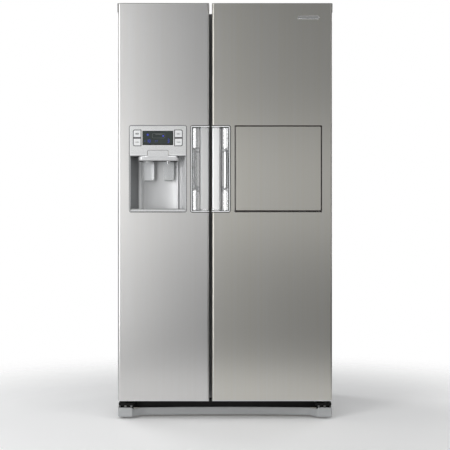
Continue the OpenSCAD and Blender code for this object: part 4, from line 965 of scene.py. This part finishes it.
def home_bar():
    """The fold-down panel, the dark seal round it with a sleeve lining the pocket and a ring round the
    panel's edge that are painted shade, and the serving tray on its back
    """
    x, z = BAR_HOLE
    mesh = new_mesh()
    slab(mesh, "Y", grow(BAR_X, -2.4), (BAR_Z[0] + 4.2, BAR_Z[1] - 2.4), (FRONT, FRONT + 0.95), 3, 0.4)
    for side_x in ((BAR_X[0], BAR_X[0] + 0.9), (BAR_X[1] - 0.9, BAR_X[1])):
        slab(mesh, "X", (FRONT + 0.6, FRONT + 11.5), (BAR_Z[0] + 12, BAR_Z[1] - 3), side_x, 0.4, 0.2)
    slab(mesh, "Z", grow(BAR_X, -3), (FRONT + 0.6, FRONT + 11.5), (BAR_Z[1] - 0.9, BAR_Z[1]), 0.4, 0.2)
    piece("homebar_panel", mesh, STEEL_RIGHT, BAR_BODY, hides=["homebar_door"])
    # the seal ring at the front, and a dark sleeve behind it down the pocket's walls: painted shade
    mesh = new_mesh()
    for profile in (((0.1, 0.9), (0.1, 0.15), (1.7, 0.3), (1.7, 0.9)),
                    ((0.1, 1), (0.1, 31), (0.5, 31), (0.5, 1))):
        contour(mesh, "Y", x, z, 5, [(inset, FRONT + deep) for inset, deep in profile], closed=True)
    piece("homebar_seal_and_shade_lining", mesh, SEAL_AND_PAINTED_SHADE, BODY[RIGHT])
    # a dark ring round the panel's edge: painted shadow in the gap
    mesh = new_mesh()
    contour(mesh, "Y", BAR_X, BAR_Z, 3, [(inset, FRONT + deep) for inset, deep in (
        (0.3, 0.6), (5.2, 0.6), (5.2, 0.94), (0.3, 0.94))], closed=True)
    piece("homebar_panel_edge_shade", mesh, SEAL_AND_PAINTED_SHADE, BAR_BODY)
    # the tray's rim, ribs and cup rings, on the side that faces up when the panel is open
    well_x, well_z = grow(BAR_X, -27), grow(BAR_Z, -27)
    floor_y = BAR_TRAY_BACK - 2
    mesh = new_mesh()
    slab(mesh, "Y", well_x, well_z, (floor_y, floor_y + 0.8), 10, 0.3)
    for centre in (BAR_X[0] + 95, BAR_X[1] - 95):
        for radius in (34, 39):
            ridge = [(radius, 0.6), (radius + 0.8, 1.7), (radius + 2.2, 1.7), (radius + 3, 0.6)]
            lathe(mesh, "Y", (centre, middle(BAR_Z) + 60), [(r, floor_y + out) for r, out in ridge], 48,
                  closed=True)
    for i in range(9):
        rib_z = well_z[0] + 22 + 13 * i
        slab(mesh, "Y", grow(well_x, -24), (rib_z - 1.6, rib_z + 1.6), (floor_y + 0.4, floor_y + 1.7),
             1.5, 0.7)
    piece("homebar_tray_mat", mesh, ICE_WHITE, BAR_BODY)
    mesh = new_mesh()
    contour(mesh, "Y", grow(BAR_X, -8), grow(BAR_Z, -8), 6, [
        (inset, BAR_TRAY_BACK + deep)
        for inset, deep in ((0, -0.2), (0.4, 1.6), (3, 2.4), (5.6, 1.6), (6, -0.2))], closed=True)
    piece("homebar_tray_gasket", mesh, RUBBER, BAR_BODY)
    mesh = new_mesh()
    shelf_z = extent("homebar_case")[2][0] + 28 + 184
    slab(mesh, "Z", grow(BAR_X, -17), (FRONT + 60.5, FRONT + 66), (shelf_z - 9, shelf_z + 2.5), 2, 0.8)
    for low in (28 + 42, 28 + 226):
        slab(mesh, "Z", grow(BAR_X, -18), (FRONT + 62, FRONT + 65.5),
             (extent("homebar_case")[2][0] + low, extent("homebar_case")[2][0] + low + 7), 1.5, 0.6)
    piece("homebar_shelf_trim", mesh, SILVER, BODY[RIGHT])


def badge():
    """A blank plate where the real appliance has its badge"""
    x = (right_skin[0][1] - 146, right_skin[0][1] - 55)
    z = (right_skin[2][1] - 65, right_skin[2][1] - 51)
    mesh = new_mesh()
    contour(mesh, "Y", x, z, 3, [(0, FRONT + 0.2), (0, FRONT - 0.6), (0.5, FRONT - 1.1), (1.1, FRONT - 1.1),
                                 (1.6, FRONT - 0.8), (2.2, FRONT - 0.8)])
    piece("door_badge", mesh, BADGE, BODY[RIGHT])


def door_edges():
    """A silver lip along each door's lower edge, lighter than the caps as a painted highlight, and the ears
    at its outer upper corner
    """
    for side, skin in ((LEFT, left_skin), (RIGHT, right_skin)):
        cap_z = extent(BODY[side] + "_caps")[2]
        # a silver strip under the steel, lighter than the caps: a painted highlight along the lower edge
        mesh = new_mesh()
        slab(mesh, "Y", grow(skin[0], -0.6), (cap_z[0] + 0.1, skin[2][0] + 1.2), (FRONT - 0.3, FRONT + 2),
             1, 0.5)
        piece(BODY[side] + "_lower_edge_highlight", mesh, RECESS, BODY[side])
        outer = side * (max(abs(skin[0][0]), abs(skin[0][1])))
        mesh = new_mesh()
        slab(mesh, "Y", tuple(sorted((outer + side * 0.1, outer + side * 1.9))),
             (cap_z[1] - 38, cap_z[1] - 0.4), (FRONT + 1, FRONT + 12), 0.8, 0.5)
        piece(BODY[side] + "_ear", mesh, EAR, BODY[side])


home_bar()
badge()
door_edges()

# ---- hinges, base and leg cover ----

COVER_X, COVER_Y, COVER_Z = extent("hinge_covers")
HINGE_X = extent("upper_hinges")[0][1] - 16


def hinge_covers():
    """A rounded cover over each upper hinge, lower towards the door, with its screw"""
    length, drop, wide = 36, 9, 60
    base, top = COVER_Z[0] + 0.1, COVER_Z[1] - 1.6
    for side in (LEFT, RIGHT):
        x = tuple(sorted((side * COVER_X[1], side * (COVER_X[1] - wide))))
        mesh = new_mesh()
        rings = []
        for level, inset in ((base, 0.3), (base + 3, 0), (top - drop - 3, 0), (top - drop, 0.4),
                             (top - drop * 0.7, 0.9), (top - drop * 0.4, 1.5), (top - 1.6, 2.4),
                             (top - 0.5, 4), (top, 6.5)):
            rise = max(level - (top - drop - 1), 0) / (drop + 1)
            y = (COVER_Y[0] + length * rise + inset, COVER_Y[1] - inset)
            rings.append(ring(mesh, "Z", round_rect(grow(x, -inset), y, 9 - inset * 0.4, 6), level))
        join(mesh, rings)
        piece("hinge_cover_" + SIDE_NAME[side], mesh, COVER, "cabinet", hides=["hinge_covers"])
        mesh = new_mesh()
        at = (middle(x), COVER_Y[1] - 26)
        lathe(mesh, "Z", at, [(8, top - 0.5), (8, top + 0.5), (6.6, top + 0.9), (5.4, top + 0.4),
                              (5.4, top - 0.5)], 28, closed=True)
        screw_head(mesh, "Z", at, top - 0.4, 1, 4.6, 1.7)
        piece("hinge_cover_screw_" + SIDE_NAME[side], mesh, SCREW, "cabinet")


def hinge_screws():
    """The bolts and screws of the lower hinges"""
    mesh = new_mesh()
    for side in (LEFT, RIGHT):
        for step in (-6, -31):
            lathe(mesh, "Z", (side * (HINGE_X + step), FRONT + 44),
                  [(3.2, 46.8), (3.2, 49.2), (5.4, 49.6), (5.4, 54.6), (6.6, 54.9)], 6)
    piece("lower_hinge_bolts", mesh, SCREW, "cabinet")
    mesh = new_mesh()
    for side in (LEFT, RIGHT):
        for step, z in ((-8, 60), (-26, 72)):
            screw_head(mesh, "Y", (side * (HINGE_X + step), z + 14), CAB_FRONT - 4, -1, 4.2, 2.2)
    piece("lower_hinge_screws", mesh, HINGE, "cabinet")


def leg_cover():
    """The grey cover with rounded edges: its corner blocks stand taller than the bar between them"""
    x, y, z = extent("kick_plate")
    half, front, rear = x[1], y[0], y[1]
    bar_y, bow, slope_x, flat_x, wall = FRONT + 65, 14, 360, 395, 3
    block_top, bar_top = z[1], z[1] - 7.5
    path = [(-half, rear, block_top), (-half, front + 6, block_top), (-half + 1.8, front + 1.8, block_top),
            (-half + 6, front, block_top), (-flat_x - 3, front, block_top),
            (-flat_x, front + 1, block_top - 1),
            (-flat_x + 2.5, front + 4.5, bar_top + 2), (-flat_x + 6, front + 9, bar_top)]
    steps = 16
    bar = [(-slope_x + 2 * slope_x * i / steps) for i in range(steps + 1)]
    path += [(bx, bar_y + bow * (1 - (bx / slope_x) ** 2), bar_top) for bx in bar]
    path += [(-px, py, top) for px, py, top in reversed(path[:8])]
    mesh = new_mesh()
    rings = []
    for i, (px, py, top) in enumerate(path):
        before, after = path[max(i - 1, 0)], path[min(i + 1, len(path) - 1)]
        along = Vector((after[0] - before[0], after[1] - before[1])).normalized()
        inward = Vector((-along.y, along.x))
        profile = [(wall, z[0] + 1), (1.8, z[0]), (0.6, z[0] + 0.8), (0.05, z[0] + 3.5), (0, z[0] + 9),
                   (0, top - 5), (0.15, top - 2.5), (0.9, top - 0.7), (2.2, top), (wall, top - 0.5)]
        rings.append([mesh.verts.new(Vector((px + inward.x * d, py + inward.y * d, v)) * MM)
                      for d, v in profile])
    join(mesh, rings)
    piece("leg_cover", mesh, KICK, "cabinet", hides=["kick_plate"], smooth=50)


hinge_covers()
hinge_screws()
leg_cover()

# ---- back and machine room ----

REAR_X, REAR_Y, REAR_Z = extent("rear_panels")
MACHINE_TOP = 280
PORT_EDGE = -394              # the lower panel is cut away beside this for the water valve
SLOT_HIGH = 8


def rear_panels():
    """Two sheet panels with stamped ribs, louvres and screws"""
    y0, y1 = REAR_Y
    skin = y0 + 0.35

    def strip(x, z, radius=0.5):
        slab(mesh, "Y", x, z, (y0 + 0.02, skin), radius, 0.1)

    def ridge(x, z, radius, profile):
        contour(mesh, "Y", x, z, radius, profile, closed=True)

    x0, x1 = grow(REAR_X, -0.3)
    mesh = new_mesh()
    upper = (MACHINE_TOP + 0.6, REAR_Z[1] - 0.2)
    strip((x0, x1), upper, 2)
    for i in range(4):
        rib = (REAR_X[0] + 60 + 200 * i, REAR_X[0] + 244 + 200 * i)
        ridge(rib, grow(upper, -70), 22, [(0, skin - 0.1), (3, y1 - 0.05), (9, y1 - 0.05), (12, skin - 0.1)])
    piece("rear_panel_upper", mesh, ZINC, "cabinet", hides=["rear_panels"])
    # the lower panel is built from strips, so that air passes through its rows of slots
    mesh = new_mesh()
    rows = [100 + 32 * row for row in range(5)]
    edges = [REAR_Z[0]] + [level for row in rows for level in (row, row + SLOT_HIGH)] + [MACHINE_TOP]
    inlet_x, _, inlet_z = extent("power_inlet")
    inlet_x, inlet_z = grow(inlet_x, 0.5), grow(inlet_z, 0.5)
    for low, high in zip(edges[0::2], edges[1::2]):
        if low == edges[0]:
            strip((x0, inlet_x[0]), (low, high))
            strip((inlet_x[1], x1), (low, high))
            strip(inlet_x, (low, inlet_z[0]))
            strip(inlet_x, (inlet_z[1], high))
        else:
            strip((PORT_EDGE, x1), (low, high))
    slots = [(-350 + 100 * column, -310 + 100 * column) for column in range(7)]
    for row in rows:
        gaps = [PORT_EDGE] + [edge for slot in slots for edge in slot] + [x1]
        for left, right in zip(gaps[0::2], gaps[1::2]):
            strip((left, right), (row - 0.2, row + SLOT_HIGH + 0.2))
        for slot in slots:
            ridge(grow(slot, 3), (row - 3, row + SLOT_HIGH + 3), 4,
                  [(0, skin - 0.1), (1, y1 - 0.05), (2.4, y1 - 0.05), (3, y0 + 0.1)])
    port_x, _, port_z = extent("water_valve")
    strip((x0, PORT_EDGE + 0.5), (port_z[1] + 2, MACHINE_TOP))
    strip((x0, PORT_EDGE + 0.5), (rows[0], port_z[0] - 2))
    strip((x0, port_x[0] - 2), grow(port_z, 3))
    piece("rear_panel_lower", mesh, ZINC, "cabinet")
    mesh = new_mesh()
    border = (REAR_X[0] + 9, REAR_X[1] - 9)
    places = [(x, z) for x in (border[0], -300, -100, 100, 300, border[1])
              for z in (MACHINE_TOP + 12, MACHINE_TOP - 14, REAR_Z[1] - 12)]
    places += [(x, z) for z in (520, 760, 1000, 1240, 1480) for x in border]
    for at in places:
        screw_head(mesh, "Y", at, skin - 0.1, 1, 4.2, y1 - skin + 0.05)
    piece("rear_panel_screws", mesh, SCREW, "cabinet")


def compressor():
    """A domed pot with its weld seam, terminal cover and feet, and the pipes to the condenser"""
    x, y, z = extent("compressor")
    pot = (middle(x), middle(y))
    mesh = new_mesh()
    outline = ((30, 17), (58, 19), (68, 26), (70.5, 38), (70.5, 92), (72.6, 94), (72.6, 99), (70.5, 101),
               (70.3, 140), (67, 160), (58, 176), (42, 187), (20, 192), (3, 192.8))
    lathe(mesh, "Z", pot, [(radius, z[0] + up) for radius, up in outline], 56)
    piece("compressor_pot", mesh, COMPRESSOR, "cabinet", hides=["compressor"])
    mesh = new_mesh()
    slab(mesh, "Z", grow(x, -1), grow(y, -20), (z[0] + 12, z[0] + 17), 14, 1)
    piece("compressor_base", mesh, HINGE, "cabinet")
    mesh = new_mesh()
    for foot_x in (x[0] + 13, x[1] - 13):
        for foot_y in (y[0] + 34, y[1] - 34):
            lathe(mesh, "Z", (foot_x, foot_y), [(radius, z[0] + up) for radius, up in (
                (11, 0.2), (12, 2), (9, 6), (12, 10), (11, 12.5), (4, 18), (2, 21))], 24)
    piece("compressor_feet", mesh, RUBBER, "cabinet")
    mesh = new_mesh()
    slab(mesh, "X", grow((pot[1], pot[1]), 22), (z[0] + 57, z[0] + 117), (pot[0] + 60, pot[0] + 91), 6, 4)
    piece("compressor_terminals", mesh, SOCKET, "cabinet")
    coil_x, coil_y, coil_z = extent("condenser")

    def from_pot(*steps):
        return [(pot[0] + dx, pot[1] + dy, z[0] + up) for dx, dy, up in steps]

    to_coil = [(coil_x[0] + dx, coil_y[0] + dy, coil_z[1] + up)
               for dx, dy, up in ((-90, 18, -6), (-24, 14, -20), (1, 14, -31))]
    pipe("discharge_pipe", from_pot((30, 30, 178), (34, 34, 196), (90, 10, 204)) + to_coil, 3, COPPER,
         "cabinet")
    pipe("suction_pipe", from_pot((-30, 20, 170), (-31, 21, 205), (-50, 6, 224), (-70, -50, 232)), 4, COPPER,
         "cabinet")
    pipe("process_stub", from_pot((10, -40, 172), (11, -41, 190), (18, -44, 208)), 3, COPPER, "cabinet")


def coil_bends():
    """The return bends between the condenser's tubes"""
    x, y, z = extent("condenser")
    rows = [z[0] + 45 + 42 * row for row in range(4)]
    for side, pairs in ((LEFT, ((0, 1), (2, 3))), (RIGHT, ((1, 2),))):
        at = x[0] + 1 if side < 0 else x[1] - 1
        for column in (14, 36):
            for low, high in pairs:
                bend = ((0, rows[low]), (11, rows[low] + 7), (15, (rows[low] + rows[high]) / 2),
                        (11, rows[high] - 7), (0, rows[high]))
                pipe(f"coil_bend_{SIDE_NAME[side]}_{column}_{low}",
                     [(at + side * out, y[0] + column, level) for out, level in bend], 3.6, COPPER, "cabinet")


rear_panels()
compressor()
coil_bends()

# ---- inside the cabinet ----

SHELF_Z = {LEFT: (505, 712, 924, 1136, 1322), RIGHT: (512, 740, 965, 1190, 1415)}
BIN_Z = {LEFT: (165, 385, 610, 1402, 1540), RIGHT: (165, 385, 610, 1290, 1480)}
BIN_HIGH = 105
BIN_SHALLOW = 58              # the lowest bins are less deep, clear of the drawers
DEEP_BIN_FROM = 500           # bins above this level have the full depth


def fridge_shelves():
    """Glass plates in a moulded trim"""
    x, y, _ = extent("fridge_shelves")
    glass, trim, rails = new_mesh(), new_mesh(), new_mesh()
    for z in SHELF_Z[RIGHT]:
        slab(glass, "Z", grow(x, -0.6), (y[0] + 4, y[1]), (z, z + 5), 3, 0.7)
        contour(trim, "Y", grow(x, -0.4), (z - 8, z + 9), 3,
                [(1.2, y[0] + 0.2), (0, y[0] + 1.4), (0, y[0] + 4.6), (0.8, y[0] + 5.8)])
        slab(trim, "Z", grow(x, -3), (y[0] + 5, y[0] + 22), (z + 5.05, z + 7.4), 2, 0.8)
        slab(trim, "Z", grow(x, -0.6), (y[1] - 9, y[1]), (z + 5.05, z + 11), 2, 1)
        for side_x in ((x[0] + 0.3, x[0] + 7), (x[1] - 7, x[1] - 0.3)):
            slab(rails, "Z", side_x, (y[0] + 10, y[1] - 6), (z - 9, z - 0.2), 2, 1)
    piece("fridge_shelf_glass", glass, GLASS, "cabinet", hides=["fridge_shelves"])
    piece("fridge_shelf_trims", trim, SILVER, "cabinet")
    piece("fridge_shelf_rails", rails, LINER, "cabinet")


def freezer_shelf_trims():
    """The front trims of the freezer shelves, and the rails they rest on"""
    x, y, _ = extent("freezer_shelves")
    trim, rails = new_mesh(), new_mesh()
    for z in SHELF_Z[LEFT]:
        contour(trim, "Y", grow(x, -0.6), (z - 3, z + 8), 3,
                [(1.2, y[0] - 3.6), (0, y[0] - 2.4), (0, y[0] + 3.4), (0.8, y[0] + 4.4)])
        for side_x in ((x[0] + 0.3, x[0] + 6), (x[1] - 6, x[1] - 0.3)):
            slab(rails, "Z", side_x, (y[0] + 10, y[1] - 6), (z - 8, z - 0.2), 2, 1)
    piece("freezer_shelf_trims", trim, SILVER, "cabinet")
    piece("freezer_shelf_rails", rails, LINER, "cabinet")


def frame_plate(mesh, axis, outer, outer_r, hole, hole_r, depths, edge):
    """A plate with rounded edges and a round-cornered hole"""
    rows = [(edge, depths[0]), (0, depths[0] + edge), (0, depths[1] - edge), (edge, depths[1])]
    rings = [ring(mesh, axis, round_rect(grow(outer[0], -s), grow(outer[1], -s), outer_r), d)
             for s, d in rows]
    rings += [ring(mesh, axis, round_rect(grow(hole[0], s), grow(hole[1], s), hole_r), d)
              for s, d in reversed(rows)]
    join(mesh, rings, closed=True)


def drawer(node):
    """A clear drawer with a rounded front, its finger slot and a pale rim"""
    x, y, z = extent(node)
    wall, front = 2.6, 8
    tub_top = z[1] - 6
    mesh = new_mesh()
    tub = grow(x, -0.3), (y[0] + front - 1, y[1] - 0.3)
    contour(mesh, "Z", tub[0], tub[1], 7, [
        (5, z[0] + 0.2), (1.5, z[0] + 1), (0, z[0] + 5), (0, tub_top - 4), (0, tub_top - 0.6), (0.6, tub_top),
        (wall - 0.5, tub_top), (wall, tub_top - 0.6), (wall, z[0] + 7), (wall + 1.5, z[0] + 3.8),
        (wall + 6, z[0] + 3)])
    slot = grow((middle(x), middle(x)), 70), (tub_top - 26, tub_top - 6)
    frame_plate(mesh, "Y", (grow(x, -0.3), (z[0] + 0.2, z[1])), 7, slot, 9, (y[0], y[0] + front), 1.6)
    piece(node + "_tub", mesh, CLEAR, node, hides=[node])
    mesh = new_mesh()
    frame_plate(mesh, "Y", (grow(slot[0], 6), grow(slot[1], 5)), 12, slot, 9, (y[0] + 1, y[0] + front + 3), 1)
    slab(mesh, "Y", grow(x, -8), (z[1] - 5.6, z[1] - 0.6), (y[0] + 0.2, y[0] + front + 4), 2, 1)
    piece(node + "_handle", mesh, SILVER, node)


def door_bins(side):
    """Clear bins with a bright band round the rim"""
    node = BODY[side] + "_bins"
    x, y, _ = extent(node)
    tubs, bands = new_mesh(), new_mesh()
    for z in BIN_Z[side]:
        deep = BIN_SHALLOW if z < DEEP_BIN_FROM else y[1] - y[0]
        top = z + BIN_HIGH
        span = grow(x, -0.4), (y[0] + 0.1, y[0] + deep - 0.4)
        contour(tubs, "Z", span[0], span[1], 12, [
            (6, z + 0.1), (1.5, z + 0.9), (0.2, z + 4.5), (0, top - 3), (0.5, top - 0.2), (1.8, top - 0.2),
            (2.2, top - 3), (2.4, z + 6.5), (3.6, z + 3.4), (8, z + 2.6)])
        contour(bands, "Z", grow(x, -0.05), (y[0] + 6, y[0] + deep - 0.05), 12, [
            (0.2, top - 22), (0, top - 21), (0, top - 9), (0.2, top - 8), (1.6, top - 8), (1.6, top - 22)],
                closed=True)
    piece(node + "_tubs", tubs, CLEAR, BODY[side], hides=[node])
    piece(node + "_bands", bands, SILVER, BODY[side])


def gasket(side):
    """The magnetic seal: a base strip, a bellows and the pad that meets the frame"""
    node = BODY[side] + "_gasket"
    x, y, z = extent(node)
    profile = [(0, 0), (0, 2), (2.4, 3), (1, 5), (2.2, 7), (0.8, 9), (1.4, 10.8), (3.4, 11.6), (10.6, 11.6),
               (12.6, 10.8), (13.2, 9), (11.8, 7), (13, 5), (11.6, 3), (14, 2), (14, 0)]
    mesh = new_mesh()
    contour(mesh, "Y", x, z, 8, [(inset, y[0] + out) for inset, out in profile], closed=True, steps=5)
    piece(node + "_bellows", mesh, RUBBER, BODY[side], hides=[node], smooth=60)


def lamps():
    """A lens in the ceiling of each compartment"""
    mesh = new_mesh()
    for side, half, y, radius in ((RIGHT, 85, (-150, -80), 14), (LEFT, 50, (-225, -180), 12)):
        x = middle(CAVITY_X[side])
        slab(mesh, "Z", (x - half, x + half), y, (CAVITY_Z[1] - 9, CAVITY_Z[1] - 0.1), radius, 3)
    piece("lamp_lenses", mesh, LAMP, "cabinet")


def ice_details():
    """The ejector's comb, the stop arm and a grip at the bucket's rim"""
    x, y, z = extent("ice_maker")
    mesh = new_mesh()
    for i in range(6):
        comb_x = x[0] + 44 + 37 * i + 16
        slab(mesh, "Z", grow((comb_x, comb_x), 5), (y[0] + 46, y[1] - 36), (z[0] + 33, z[0] + 37.5), 2, 1)
    piece("ejector_comb", mesh, SHELF, "cabinet")
    pipe("ice_stop_arm", [(x[0] + 33, y[0] + 18, z[0] + 20), (x[0] + 60, y[0] + 8, z[0] + 2),
                          (middle(x), y[0] + 8, z[0] - 6), (x[1] - 30, y[0] + 8, z[0] + 2),
                          (x[1] - 12, y[0] + 30, z[0] + 14)], 1.6, HINGE, "cabinet")
    bx, by, bz = extent("ice_bucket")
    mesh = new_mesh()
    rim_y = by[0] + 76
    slab(mesh, "Y", (bx[0] + 20, bx[0] + 100), (bz[1] - 58, bz[1] - 34), (rim_y - 3.5, rim_y + 0.5), 6, 1.5)
    piece("ice_bucket_grip", mesh, SILVER, "cabinet")


fridge_shelves()
freezer_shelf_trims()
for drawer_node in ("freezer_drawer_upper", "freezer_drawer_lower", "crisper_upper", "crisper_lower"):
    drawer(drawer_node)
for side in (LEFT, RIGHT):
    door_bins(side)
    gasket(side)
lamps()
ice_details()
